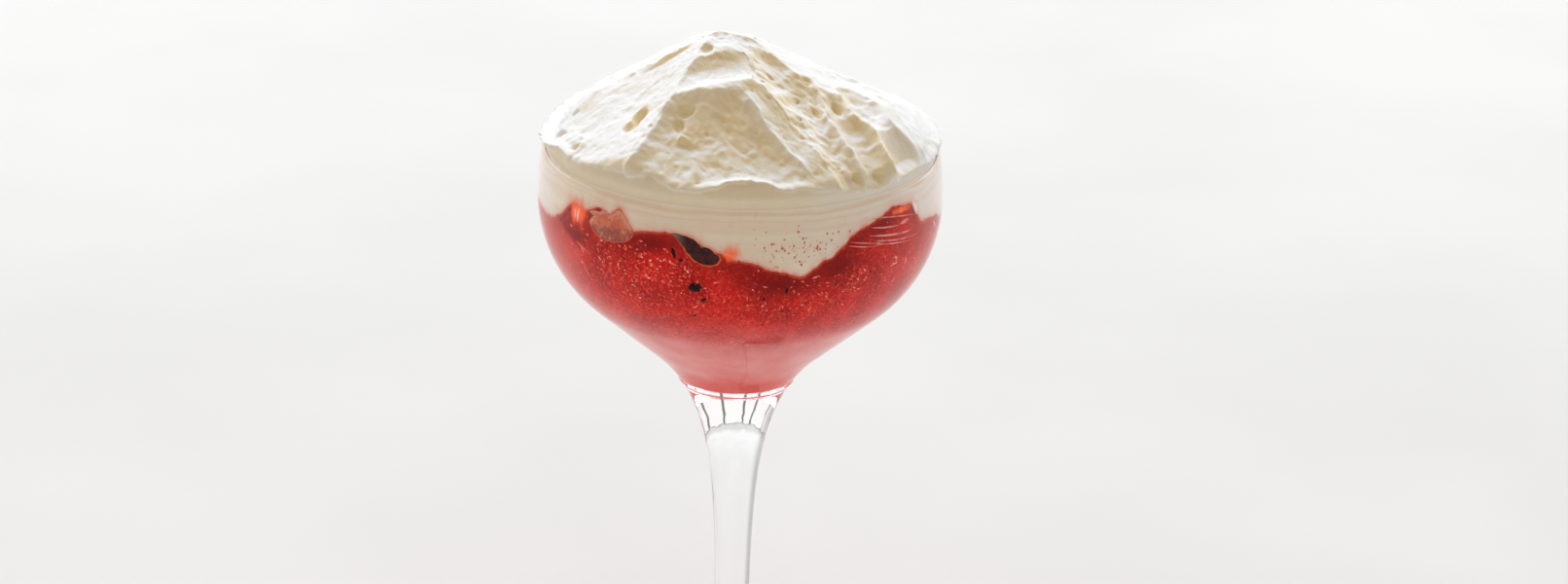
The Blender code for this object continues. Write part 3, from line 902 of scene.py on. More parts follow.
spots = np.concatenate([scatter(*cloud) for cloud in CRYSTAL_CLOUDS])
radians, height = np.radians(spots[:, 0]), spots[:, 1]
in_ice = (height < snow_line(radians) - UNDER_THE_LINE) & (height > LOWEST_CRYSTAL)
spots = spots[in_ice & (from_fruit(radians, height) > OUTSIDE_FRUIT)]
large = dice.random(len(spots)) ** 2.6
length = 0.45 + 1.3 * large
bend = length * dice.uniform(-0.3, 0.3, len(spots))
turn = dice.normal(-25, 35, len(spots))
crystals = np.column_stack([spots, length, 0.27 + 0.27 * large, turn, bend])
ice_mesh = slivers("ice_crystals", crystals, GRANITA_INTO_WALL)

# %% [markdown]
# A crystal is red like the ice behind it, pink, or nearly white, as it happens to catch the
# light, so noise as fine as the crystals picks its tone. It shines a little by itself, because
# light that comes through the bowl leaves through it.

# %% Bright ice
ice = Recipe("bright ice", roughness=0.4, specular_ior_level=0.1, emission_strength=0.22)
glint = ice.noise(1.1, detail=1.0)
ice_tone = ice.layered(
    (0.90, 0.05, 0.03),
    (glint.between(0.40, 0.55), (1.0, 0.20, 0.13)),
    (glint.between(0.58, 0.70), (1.0, 0.75, 0.66)),
)
ice.set("Base Color", ice_tone)
ice.set("Emission Color", ice_tone)
place(ice_mesh, ice, "red_ice")

# %% [markdown]
# Dark seeds lie in the ice, bent a very little, with one fleck of orange zest among them, and
# fine specks of syrup got into the cream right of the middle. Where the bowl was wiped, mostly on
# the right, pale lines of melted ice stay on the wall, and a few smears of cream; they are long
# slivers laid nearly level. Among the lines are four short slivers that are painted highlights of
# the glass. Each kind is a table with a row for each sliver.

# %% Rows for seeds, specks, zest, lines, highlights and smears
# Each row: angle and height at the wall, length, width, turn in degrees, and (not for a seed,
# whose bend follows from its width) bend.
SEEDS = (
    (-11.5, -19.3, 3.6, 2.5, 5), (-9.2, -22.4, 1.9, 1.1, 25), (-12.4, -27.2, 1.5, 1.1, 0),
    (-17.8, -11.0, 2.9, 0.9, -72), (-15.6, -12.7, 1.1, 1.0, 0), (-47.7, -21.4, 0.7, 0.6, 0),
    (14.5, -19.6, 1.6, 0.8, 80), (8.1, -21.6, 1.0, 0.8, 30), (13.8, -25.2, 1.1, 0.8, 0),
    (8.3, -29.1, 1.3, 1.0, 0), (20.6, -23.5, 1.2, 0.7, 20), (29.4, -19.4, 0.7, 0.6, 0),
    (-36, -33.4, 0.8, 0.6, 0), (2, -35, 0.7, 0.5, 0), (41, -18, 0.7, 0.5, 40),
    (95, -20, 1.6, 1.1, 30), (130, -28, 1.1, 0.8, 0), (170, -18, 2.2, 1.4, -40),
    (-150, -24, 1.4, 1.0, 10), (-110, -19, 1.2, 0.9, 60),
)
SPECK_CLOUD = (95, 17, -9.8, 6.5, 2.2)
SEED_BEND = 0.08
OVER_THE_LINE = 0.8
ZEST = ((22.4, -25.4, 1.9, 1.0, 70, 0.2),)
MELT_LINES_AND_HIGHLIGHTS = (
    (49.3, -6.0, 19, 0.35, -10, 0.1), (45.8, -7.6, 10, 0.35, -9, -0.2),
    (49, -9.8, 16.5, 0.55, -8, -0.4), (50.6, -11.3, 17.5, 0.45, -9, -0.5),
    (48.6, -12.1, 16, 0.4, -10, -0.2), (37.8, -10.9, 9.5, 0.3, -11, -0.2),
    # The rows at 54, 73.5, 56 and 62.5 degrees are painted highlights of the glass.
    (39, -10.2, 11.5, 0.3, -11, -0.2), (54, -8.1, 4, 0.8, 3, 0), (73.5, -13.8, 3.2, 0.7, -50, 0),
    (56, -18.5, 1.6, 0.7, 75, 0), (62.5, -20.6, 1.9, 0.8, 70, 0), (-48.8, -15.6, 5.5, 0.3, -22, 0.1),
)
SMEARS = (
    (59.2, -5.9, 4.6, 1.3, -62, 0.2), (40.4, -4.6, 6, 0.35, -9, 0.1), (30.8, -5.0, 1.6, 0.5, 60, 0),
    (-51.0, -7.9, 3.6, 0.7, 82, 0.2), (-52.8, -7.9, 2.6, 0.4, 95, -0.2),
)
seeds = np.array(SEEDS, float)
seeds = np.column_stack([seeds, SEED_BEND * seeds[:, 3]])
specks = scatter(*SPECK_CLOUD)
specks = specks[specks[:, 1] > snow_line(np.radians(specks[:, 0])) + OVER_THE_LINE]
size = 0.2 + 0.45 * dice.random(len(specks)) ** 2
specks = np.column_stack([specks, 1.2 * size, size, np.degrees(3 * size), 0 * size])
print(f"{len(seeds)} seeds, {len(specks)} specks, {len(MELT_LINES_AND_HIGHLIGHTS)} lines, {len(SMEARS)} smears")

# %% [markdown]
# Each of these is of one stuff that varies a little, so its finish is two tones mixed over noise.
# What is wet against the wall is given a faint painted glow, as the crystals are.

# %% Flecks of two tones
def two_tones(name, cell, low, high, tones, roughness=0.5, glow=0.0):
    """A finish that goes from one tone to another over noise, and may shine a little by itself."""
    recipe = Recipe(name, roughness=roughness, specular_ior_level=0.1)
    tone = recipe.mix(recipe.noise(cell).between(low, high), *tones)
    recipe.set("Base Color", tone)
    if glow:
        recipe.set("Emission Color", tone)
        recipe.set("Emission Strength", glow)
    return recipe


dark_seed = two_tones("dark seed", 0.7, 0.3, 0.7, ((0.006, 0.002, 0.004), (0.03, 0.004, 0.006)))
pink_speck = two_tones("speck of syrup", 1.5, 0.3, 0.7, ((0.78, 0.20, 0.14), (0.88, 0.42, 0.32)))
orange_zest = two_tones("zest", 0.8, 0.3, 0.7, ((0.90, 0.22, 0.02), (0.95, 0.42, 0.04)))
wet_pink = ((0.86, 0.14, 0.12), (1.0, 0.42, 0.37))
melted_and_highlights = two_tones("melt lines", 3, 0.35, 0.65, wet_pink, roughness=0.4, glow=0.05)
wet_cream = ((0.98, 0.70, 0.58), (1.0, 0.90, 0.84))
smeared = two_tones("cream smears", 3, 0.35, 0.65, wet_cream, roughness=0.4, glow=0.05)

# Each kind: piece, its rows, how much deeper in the wall than the granita, finish and slot.
for name, rows, deeper, finish, slot in (
    ("seeds", seeds, 0.03, dark_seed, "dark_fruit"),
    ("syrup_specks", specks, 0.08, pink_speck, "red_ice"),
    ("zest_fleck", ZEST, 0.03, orange_zest, "pale_fruit"),
    ("melt_lines", MELT_LINES_AND_HIGHLIGHTS, 0.1, melted_and_highlights, "red_ice"),
    ("cream_smears", SMEARS, 0.1, smeared, "cream"),
):
    place(slivers(name, rows, GRANITA_INTO_WALL + deeper), finish, slot)

# %% [markdown]
# ## Whipped cream: the spooned hill
#
# The cream was heaped on and shaped with the back of a spoon. Such a hill is a lump from which
# shallow cups were pressed: each stroke of the spoon leaves a hollow, and between two strokes
# stands a torn crest. So the hill is rolled out flat round its peak and the cups are laid on
# that map: the large ones by name, and small ones spread over the back.

# %% Side view and spoon strokes
# Radius and height over the rim of points down the hill, from the peak to the wall.
DOME_SIDE = (
    (0, 27.7), (5, 26.9), (17, 21.9), (28, 16.4), (38, 12.2), (44.2, 8.6), (47, 5.8), (47.6, 3.2),
    (46.8, 0.6),
)
PEAK_LEAN = -5.5
# Each cup: name, centre to the right and to the back of the peak, half length, half width, turn
# in degrees, depth, and how rough the stroke left it.
CUPS = (
    ("front face", 2.5, -43, 23.5, 19, -20, 2.5, 0.6),
    ("left slope", -35, -21.5, 28, 14.5, 33, 1.5, 0.42),
    ("left end", -53, 1, 24, 9, 84, 2.6, 0.9),
    ("trough", -3, -17, 9.5, 4.8, 22, 1.2, 0.35),
    ("right stroke", 22.5, -31, 24, 6.4, -58, 1.7, 1.0),
    ("second right stroke", 32.5, -33, 15, 4, -62, 1.5, 0.7),
    ("upper right stroke", 33.5, -15, 8, 3.2, -58, 1.3, 0.6),
    ("pocket", 44.5, -28, 8.5, 6, -55, 2.8, 0.12),
    ("right shoulder", 53, -8, 24, 10, -80, 1.4, 0.4),
    ("groove", -15, -4.5, 8, 2, 12, 1.5, 0.2),
    ("left back stroke", -30, 14, 27, 16, -35, 0.7, 0.5),
    ("back stroke", 6, 22, 27, 17, 8, 1.8, 0.5),
    ("right back stroke", 34, 16, 22, 15, 40, 1.0, 0.5),
)
BACK_CUPS = 8
GOLDEN_ANGLE = 137.5


def all_cups():
    """The named strokes, and small ones on the back, spread by the golden angle."""
    cups = [cup[1:] for cup in CUPS]
    for n in range(BACK_CUPS):
        bearing = math.radians(180 + n * GOLDEN_ANGLE % 170 - 85)
        away = 24 + 26 * ((n * 0.618 + 0.2) % 1)
        size = 7 + 4 * ((n * 0.37) % 1)
        x, y = away * math.sin(bearing), -away * math.cos(bearing)
        cups.append((x, y, size, 0.55 * size, 70 * n, 1.2 + 1.1 * ((n * 0.53) % 1), 0.6))
    return cups


print(f"{len(all_cups())} spoon strokes")

# %% [markdown]
# At each place of the map the lowest cup wins, and a place that no cup reaches keeps the lump's
# own height. The result is a relief, which will move the skin along its normal.

# %% The lowest cup wins
# The lump stands this far off the side view where no cup reaches, and the back sank by the slump.
LUMP = 2.2
BACK_SLUMP = 2.8
# A swelling in front: its centre, half length, half width and height.
BULGE = (-1, -25.5, 17, 11, 2.8)
# Where two cups come this near to each other, the crest between them is eased.
EASE = 0.25


def in_ellipse(x, y, centre_x, centre_y, half_length, half_width, turn):
    """How far along and across a turned ellipse each place is, counted in its half sizes."""
    c, s = math.cos(math.radians(turn)), math.sin(math.radians(turn))
    along = ((x - centre_x) * c + (y - centre_y) * s) / half_length
    across = (-(x - centre_x) * s + (y - centre_y) * c) / half_width
    return along, across


def spooned(x, y):
    """Relief, and the roughness and stroke direction of the cup that each place belongs to.

    A cup is depth * (along^2 + across^2 - 1). The lowest cup wins, and where two are nearly
    even the crest between them is eased. The bulge is a hill of exp(-(along^2 + across^2)).
    """
    relief = np.full_like(x, LUMP)
    rough, turn_there = np.full_like(x, 0.6), np.zeros_like(x)
    for *ellipse, depth, torn in all_cups():
        along, across = in_ellipse(x, y, *ellipse)
        cup = depth * (along**2 + across**2 - 1)
        owner = cup < relief
        closeness = np.clip(1 - np.abs(relief - cup) / EASE, 0, 1)
        relief = np.minimum(relief, cup) - closeness**2 * EASE / 4
        rough = np.where(owner, torn, rough)
        turn_there = np.where(owner, math.radians(ellipse[4]), turn_there)
    *ellipse, height = BULGE
    along, across = in_ellipse(x, y, *ellipse, 0)
    bulge = height * np.exp(-(along**2 + across**2))
    return relief + bulge - BACK_SLUMP * smooth_step(y, 4, 38), rough, turn_there


print(f"relief of {spooned(np.zeros(1), np.zeros(1))[0][0]:.1f} mm at the peak")

# %% [markdown]
# Where the spoon let go, the cream stands up in thin crests, and where it dug in, it leaves
# creases. Both are lines on the same map, sharp in the middle and dying away to the sides.

# %% Crests and creases
# Each line: name, height, how wide it dies away, and its points on the map.
LINES = (
    ("curl of the peak", 0.9, 1.3, (-4, -1.5), (0, -0.5), (5, -2), (9, -3)),
    ("over the face", 0.7, 1.8, (-14.5, -26), (-13.5, -24.6), (-9.3, -24), (-5.4, -24),
     (0.3, -23.6), (4, -23.6)),
    ("right of the face", 1.5, 1.9, (4, -23.6), (5.5, -26), (7.6, -28.6), (9.6, -32.2), (11.7, -36),
     (14.3, -40.3), (17.4, -43.4), (23.1, -47.9)),
    ("left of the face", 1.1, 1.5, (-13.9, -24), (-14.9, -27), (-16.6, -29.8), (-20.6, -35.6),
     (-24.2, -40.5), (-28, -43.8)),
    ("between strokes", 1.2, 1.3, (21.5, -19), (24.3, -25.6), (28.8, -31.9), (31.9, -36.3),
     (37.2, -43.7)),
    ("left of the pocket", 0.9, 1.3, (27.3, -14.3), (33.1, -13.4), (37.4, -18), (37, -25),
     (38.6, -31), (42, -35.5), (47, -33)),
    ("right of the pocket", 0.8, 1.5, (36, -2), (41.2, -9.9), (47, -18.4), (52, -22)),
    ("down from the peak", 0.8, 1.8, (-1.3, -1.3), (-4.4, -7.8), (-8.4, -14.7), (-12.8, -22.6)),
    ("crease by the dent", -0.7, 1.6, (21.8, -10.2), (21, -17.6), (21.1, -23.2), (23.4, -24)),
    ("crease over the pocket", -0.9, 1.8, (25, -18.5), (28.1, -19.6), (31.2, -23), (34.2, -27.4),
     (35.7, -30.2)),
    ("hollow beside the edge", -0.9, 3.2, (5, -33), (8, -40), (14, -46)),
)
FADE_AT_ENDS = 6


def line_relief(x, y):
    """Sum over the lines of height * exp(-distance / width), fading towards each line's ends."""
    total = np.zeros_like(x)
    for name, height, width, *points in LINES:
        nearest, share_there = np.full_like(x, 99.0), np.zeros_like(x)
        legs = list(zip(points[:-1], points[1:]))
        for n, ((ax, ay), (bx, by)) in enumerate(legs):
            t = ((x - ax) * (bx - ax) + (y - ay) * (by - ay)) / ((bx - ax) ** 2 + (by - ay) ** 2)
            t = np.clip(t, 0, 1)
            away = np.hypot(x - ax - t * (bx - ax), y - ay - t * (by - ay))
            share_there = np.where(away < nearest, (n + t) / len(legs), share_there)
            nearest = np.minimum(nearest, away)
        ends = np.clip(FADE_AT_ENDS * np.minimum(share_there, 1 - share_there), 0.25, 1)
        total += height * ends * np.exp(-nearest / width)
    return total


print(f"{len(LINES)} crests and creases")

# %% [markdown]
# Burst bubbles leave pits, which are small bowls with a firm edge.

# %% Pits
# Each pit: centre, half length, half width, turn, depth; a negative depth is a crumb.
PITS = (
    (-23.4, -25, 2.7, 1.6, 62, 1.7), (-26.2, -28.4, 2.3, 1.8, 40, 1.2), (-42.4, -25.7, 1.3, 1.1, 0, 1.3),
    (19.7, -12.6, 1.4, 1.1, -30, 0.9), (27.2, -18.6, 1.9, 0.9, -35, 1.0), (22.0, -22.4, 1.9, 1.0, -40, 1.1),
    (37.6, -38.4, 1.7, 1.1, -50, 1.2), (31.7, -42.1, 1.6, 1, -40, 1.2), (-10.5, -28.9, 2.4, 1.3, 15, 1.2),
    (-13.2, -32.8, 1.5, 1.9, 0, 1), (-41.6, -6.7, 1, 1, 0, 0.8), (-46.5, -13.8, 1.4, 1, 0, 1),
    (39, -4.4, 3, 1.4, -50, 1.3), (-12.2, -37.3, 1.6, 1.2, 0, -0.8), (-3.4, -8.2, 1.7, 1.1, 20, 0.7),
)


def pit_relief(x, y):
    """Bowls with a firm edge: -depth * smooth_step(1.35 - hypot(along, across), 0, 0.8)."""
    total = np.zeros_like(x)
    for *ellipse, depth in PITS:
        total -= depth * smooth_step(1.35 - np.hypot(*in_ellipse(x, y, *ellipse)), 0, 0.8)
    return total


print(f"{len(PITS)} pits")

# %% [markdown]
# The spooned part ends at a ragged lip a few millimetres over the rim. Below it the cream was
# wiped smooth by the rim of the glass, so the lip stands a little proud of a smooth band. The
# lip is given as its distance from the peak for each angle round the glass.

# %% The ragged lip
# Each knot: angle in degrees, and distance from the peak.
LIP = (
    (-90, 54.9), (-65, 52.6), (-55, 53.4), (-50, 53.3), (-45, 52.8), (-39, 52.2), (-33, 52.4),
    (-29, 52.5), (-25, 51.5), (-21.5, 52.3), (-18.7, 53), (-15.8, 53.5), (-11, 53.5), (-6, 53),
    (-3.5, 51.6), (-0.5, 51), (2.7, 50.6), (6.4, 51), (9.7, 51.8), (12.2, 52.6), (17.7, 53.2),
    (23.3, 53.7), (29, 54.2), (34, 55.2), (40, 56), (50, 55.6), (61, 55.2), (73, 55.5), (110, 54),
    (150, 52.5), (200, 53.5), (240, 52.5),
)
LIP_PROUD = 0.75
LIP_RAGGED = 0.9
# How much lower the shoulder over the lip lies, by angle: the sides and the back slumped.
SHOULDER_DROP = (
    (-180, 1.6), (-130, 2.4), (-100, 3.8), (-80, 3.4), (-62, 0.8), (-45, 0), (60, 0), (80, 0.5),
    (100, 1.2), (125, 2.2), (150, 1.8),
)

lip = round_table(food_angles, LIP) + LIP_RAGGED * round_hills(food_angles, 70, 2.6, 3)
print(f"lip between {lip.min():.1f} and {lip.max():.1f} mm from the peak")

# %% [markdown]
# Close up, cream that a spoon has dragged is torn into crumbs and little steps along the stroke.
# So the map is first pulled about a little, and no crest runs true. The strokes, the crests and
# the pits are then worked out on the pulled map, and their sum is the coarse relief.

# %% Coarse relief on the map
DOME_RINGS = 168

dome = np.array(DOME_SIDE, float)
dome_length = np.concatenate([[0], np.cumsum(np.hypot(*np.diff(dome, axis=0).T))])
reach = dome_length[-1]
along = np.linspace(0, 1, DOME_RINGS)[:, None] * reach * np.ones(FOOD_COLUMNS)
map_x, map_y = along * np.sin(food_angles), -along * np.cos(food_angles)
pull_x, pull_y = (
    1.1 * flat_hills(map_x, map_y, 7, 3, level) + 0.35 * flat_hills(map_x, map_y, 1.6, 2, level + 1)
    for level in (1.0, 3.0)
)
relief, rough, turn_there = spooned(map_x + pull_x, map_y + pull_y)
pits = pit_relief(map_x + pull_x / 2, map_y + pull_y / 2)
crests = line_relief(map_x + pull_x, map_y + pull_y)
relief += crests + pits
print(f"map {reach:.0f} mm from the peak to its edge")

# %% [markdown]
# Grain is laid along each stroke, as strong as that stroke is rough, and the cream crumbles more
# at the left end. All of this ends at the lip, which stands proud of the smooth band below it.

# %% Fine relief and the lip
with_stroke = map_x * np.cos(turn_there) + map_y * np.sin(turn_there)
over_stroke = -map_x * np.sin(turn_there) + map_y * np.cos(turn_there)
lumps = flat_hills(with_stroke / 1.1, over_stroke, 3.8, 2, 9.0)
crumbs = 2 * np.abs(flat_hills(with_stroke / 1.1, over_stroke, 2.2, 2, 5.0)) - 0.4
streaks = flat_hills(with_stroke / 6, over_stroke, 1.2, 2, 6.0)
small_pits = smooth_step(flat_hills(map_x, map_y, 2.3, 2, 8.0), 0.55, 0.75)
crumbling = smooth_step(-food_degrees, 47, 62) * smooth_step(along, 40, 48)
grain = 0.8 * lumps + 0.32 * crumbs + 0.08 * streaks - 0.5 * small_pits
fine = (rough + 0.5 * crumbling) * grain

above_lip = lip - along
spooned_part = smooth_step(above_lip, -0.35, 0.15)
behind_lip = np.clip(above_lip, 0, None)
relief = (
    relief * smooth_step(above_lip, -0.4, 3)
    + fine * spooned_part
    + LIP_PROUD * spooned_part * np.exp(-behind_lip / 1.8)
    + (0.06 + 0.25 * crumbling) * crumbs * (1 - spooned_part)
)
print(f"relief from {relief.min():.1f} to {relief.max():.1f} mm")

# %% [markdown]
# The hill's side view is a smooth curve, and the relief stands off it at right angles. Then the
# shoulders sink where the cream slumped, and the whole hill leans a little to the left.

# %% Shape of the hill
def on_dome(distance, column):
    """Radius (column 0) or height (column 1) of the dome at a distance from the peak."""
    return smooth_through(np.clip(distance, 0, reach), dome_length, dome[:, column])


run = on_dome(along + 0.5, 0) - on_dome(along - 0.5, 0)
fall = on_dome(along - 0.5, 1) - on_dome(along + 0.5, 1)
steepness = np.hypot(run, fall)
hill_radius = on_dome(along, 0) + relief * fall / steepness
hill_height = on_dome(along, 1) + relief * run / steepness
shoulder_share = smooth_step(along, 34, 46) * smooth_step(hill_height, 0, 9)
hill_height = hill_height - round_table(food_angles, SHOULDER_DROP) * shoulder_share
hill = round_points(hill_radius, hill_height, food_angles)
hill[..., 0] += PEAK_LEAN * np.clip(hill_height / dome[0, 1], 0, 1) ** 1.5
print(f"hill {np.ptp(hill[..., 0]):.0f} mm wide, {hill_height.max():.1f} over the rim")

# %% [markdown]
# The cream is painted white where light falls on it: on crests, at the lip, at the sides, on the
# wiped band on the right, and wherever a face looks up at the light. In the hollows it keeps its
# yellow tone, which is painted shade. So the direction that each place faces is worked out,
# evened out over its neighbours, and kept as one number.

# %% Where the cream is white
TO_THE_LIGHT = (-0.16, 0.42, 0.89)
NEAR = range(-2, 3)
# Every place on this ring is high on the hill and faces up, which tells the outside.
HIGH_RING = 60

facing = np.cross(np.gradient(hill, axis=0), np.gradient(hill, axis=1))
facing /= np.linalg.norm(facing, axis=-1, keepdims=True) + 1e-12
lit = facing @ TO_THE_LIGHT * np.sign(facing[HIGH_RING, :, 2].mean())
lit = sum(np.roll(lit, (down, aside), (0, 1)) for down in NEAR for aside in NEAR) / len(NEAR) ** 2
by_the_sides = smooth_step(abs(food_degrees), 45, 75) * smooth_step(along, 38, 46)
by_the_lip = np.exp(-behind_lip / 1.2)
on_the_right = smooth_step(food_degrees, 5, 45) * smooth_step(-food_degrees, -120, -80)
lit = smooth_step(lit, 0.37, 0.76) + np.clip(0.5 * crests, 0, 0.6)
lit += (0.75 * by_the_sides + 0.6 * by_the_lip) * spooned_part
lit += 0.5 * on_the_right * (1 - spooned_part)
lit = np.clip(lit, 0, 1)
wiped = (1 - spooned_part) * (1 - 0.7 * on_the_right)
print(f"{lit.mean():.0%} of the hill is white")

# %% [markdown]
# Under the lip the skin goes down the wall to the line, as a smooth band, and comes back across
# the top of the granita, out of sight. What the finish has to know is painted on the rings of
# all three parts; a mark that only the hill has is nought on the other two.

# %% Cream skin
BAND_RINGS, UNDER_RINGS = 14, 6
BAND_TOP = -0.2
MIDDLE_OF_UNDERSIDE = -9
FAR_FROM_LINE = 30.0

band_share = np.linspace(0, 1, BAND_RINGS)[:, None]
band_height = BAND_TOP + (snow_edge - BAND_TOP) * band_share
band = round_points(wall_radius(band_height) + CREAM_INTO_WALL, band_height, food_angles)
under_share = np.linspace(0, 1, UNDER_RINGS + 1)[1:, None]
under_radius = (wall_radius(snow_edge) + CREAM_INTO_WALL) * (1 - under_share**1.5)
under_height = snow_edge + (MIDDLE_OF_UNDERSIDE - snow_edge) * under_share**2
underside = round_points(under_radius, under_height, food_angles)
cream_rings = np.concatenate([hill, band, underside])
cream_mesh = round_body("whipped_cream_skin", cream_rings)

over_band = (band_height - snow_edge) / np.sqrt(1 + line_slope**2)
below_hill = np.zeros((BAND_RINGS + UNDER_RINGS, FOOD_COLUMNS))
over_line = [np.full(hill.shape[:2], FAR_FROM_LINE), over_band, below_hill[BAND_RINGS:]]
paint(cream_mesh, "over_line", np.concatenate(over_line))
paint(cream_mesh, "on_the_right", np.broadcast_to(on_the_right, cream_rings.shape[:2]))
for name, values in (("airy", lit), ("pitted", -pits), ("wiped", wiped)):
    paint(cream_mesh, name, np.concatenate([values, below_hill]))
paint_what_both_share(cream_mesh, cream_rings[..., 2])

# %% [markdown]
# Against the wall cream lies in level layers, with a few folds from the rim's wiping that are
# darkened with painted shade, and syrup has soaked into it from the line, from the fruit and in
# tongues like flames. Each of these is a mask, worked out first from noise and from what was
# painted on the skin.

# %% Whipped cream masks
# Each fold of the cream against the wall, darkened with painted shade: height over the table, width, and
# how dark it is.
FOLDS = ((159.2, 0.6, 0.6), (157.5, 0.4, 0.35), (155.4, 0.8, 0.3))

cream = Recipe(
    "whipped cream",
    roughness=0.5,
    subsurface_weight=0.3,
    subsurface_radius=(1.0, 0.75, 0.5),
    subsurface_scale=1.6 * MM,
    specular_ior_level=0.35,
    emission_strength=1.0,
)
thick = cream.noise(5, detail=3.0).between(0.3, 0.7)
over = cream.painted("over_line")
uneven_over = over + cream.uneven(2.0, 1.5)
on_wall = over.between(25, 20)
levels = cream.noise(1.5, detail=3.0, place=cream.stretched(30, 30, 1)).between(0.35, 0.6)
stained = cream.noise(6, detail=3.0).between(0.45, 0.7) * over.between(7, 1)
fruit_stain = cream.painted("from_fruit") + cream.uneven(1.5, 1.0)
tongues = cream.noise(1.6, detail=3.0, place=cream.stretched(1, 1, 2.5))
flame = cream.painted("lit_syrup") + (tongues - 0.5) * 0.9
fold = cream.height() + cream.uneven(14, 2.4, detail=1.0)
# Painted shade: each fold is a darker line on the cream against the wall.
fold_shade = [
    (abs(fold - height).between(width, width / 4) * on_wall * strength, (0.86, 0.70, 0.50))
    for height, width, strength in FOLDS
]
print(f"{len(fold_shade)} folds")

# %% [markdown]
# The colours are laid on through the masks. They start from two yellowish tones, which are the
# cream in painted shade, and painted light lays white over them where the cream faces the light;
# the pits are yellower, which is painted shade too. Against the wall all is warmer, with a pale
# painted reflection at the sides, painted shade in the folds and a faint painted glow, and pinker
# down towards the line. Flames shine through it.

# %% Whipped cream finish
tone = cream.layered(
    # painted shade: the yellow tones are the cream in shade, with painted light laid over them
    (0.90, 0.75, 0.48),
    (thick, (0.92, 0.80, 0.57)),
    (cream.painted("wiped") * 0.7, (0.86, 0.76, 0.60)),
    # painted light: white where the cream faces the light, on crests, at the lip and sides
    (cream.painted("airy"), (0.895, 0.89, 0.89)),
    # painted shade: yellower in the pits
    (cream.painted("pitted").between(0.4, 1.0) * 0.6, (0.98, 0.84, 0.52)),
    (on_wall, (1.0, 0.89, 0.74)),
    (on_wall * levels * 0.5, (0.90, 0.76, 0.60)),
    (stained * 0.45, (0.93, 0.62, 0.46)),
    (cream.painted("on_the_right") * on_wall * 0.6, (1.0, 0.95, 0.88)),
    # painted reflection: pale pink at the sides
    (cream.painted("frosted") * on_wall * 0.75, (0.99, 0.87, 0.84)),
    # painted shade in the folds
    *fold_shade,
    (uneven_over.between(2.6, 0.2) * 0.55, (0.96, 0.57, 0.48)),  # pink towards the line
    (uneven_over.between(0.8, 0.1) * 0.7, (0.97, 0.31, 0.22)),  # red at the line
    (flame.between(0.05, 0.9) * on_wall, (1.0, 0.19, 0.08)),
    (fruit_stain.between(1.9, 0.1) * on_wall * 0.75, (0.94, 0.40, 0.28)),
)
glow = cream.layered(
    (0, 0, 0),
    # painted glow of the cream against the wall
    (on_wall, (0.045, 0.018, 0.014)),
    (flame.between(0.3, 1.1) * on_wall, (0.30, 0.05, 0.02)),
)
cream.set("Base Color", tone)
cream.set("Emission Color", glow)
cream.set("Normal", cream.bump(cream.noise(0.8, detail=4.0, roughness=0.7), 0.25, 0.6))
place(cream_mesh, cream, "cream", "whipped_cream")

# %% [markdown]
# ## Fruit at the wall
#
# Each bit of fruit is flat where it meets the glass and round behind. So it is given by its
# outline on the wall, as a reach for each direction, and by how deep it goes into the food.

# %% Fruit skins
FRUIT_COLUMNS, FRUIT_RINGS = 192, 40
FRUIT_INTO_WALL = 0.2
# Angle of the berry's left end, where it is pale.
BERRY_TIP = -17.5


def fruit_skin(name, outline, depth):
    """A body flat on the glass: share = sin(t)^0.7 of the outline, depth * -cos(t) behind it.

    Each point is painted with how far it lies inside the outline, in millimetres.
    """
    direction = np.linspace(-math.pi, math.pi, FRUIT_COLUMNS, endpoint=False)
    centre, reach = outline_reach(outline, direction)
    t = np.linspace(0, math.pi, FRUIT_RINGS)[:, None]
    share = np.sin(t) ** 0.7
    u, v = reach * share * np.cos(direction), reach * share * np.sin(direction)
    lumps = 1 + 0.15 * flat_hills(u, v, 2.0, 2)
    behind = depth * np.clip(-np.cos(t), 0, 1) * lumps
    height = centre[1] + v
    radius = wall_radius(height) + FRUIT_INTO_WALL - behind
    angle = (centre[0] + u) / BELLY_RADIUS
    mesh = round_body(name, round_points(radius, height, angle))
    paint(mesh, "inset", reach * (1 - share))
    return mesh, angle


berry_mesh, berry_angle = fruit_skin("berry_piece_skin", BERRY, 2.2)
chunk_mesh, _ = fruit_skin("fruit_chunk_skin", CHUNK, 2.6)
paint(berry_mesh, "to_the_left", BERRY_TIP - np.degrees(berry_angle))

# %% [markdown]
# The berry is nearly black, with dark red between its drupelets and a pale tip on the left where
# it was torn. Syrup has gathered round its edge.

# %% Dark berry
berry = Recipe("dark berry skin", roughness=0.35, specular_ior_level=0.3)
seams = berry.noise(0.9, detail=3.0).between(0.35, 0.65)
berry_tone = berry.layered(
    (0.022, 0.002, 0.003),
    (seams, (0.095, 0.008, 0.010)),
    (berry.painted("to_the_left").between(-3.5, 0.5) * 0.8, (0.40, 0.24, 0.24)),
    (berry.painted("inset").between(0.35, 0.05) * 0.7, (0.16, 0.025, 0.02)),
)
berry.set("Base Color", berry_tone)
berry.set("Normal", berry.bump(seams, 0.3, 0.7))
place(berry_mesh, berry, "dark_fruit", "berry_piece")

# %% [markdown]
# The chunk is translucent pink flesh, spotted with juice, wet and darker at its foot, pale at its
# top, and red round its edge. The edges of these patches are broken up by the juice's own noise.

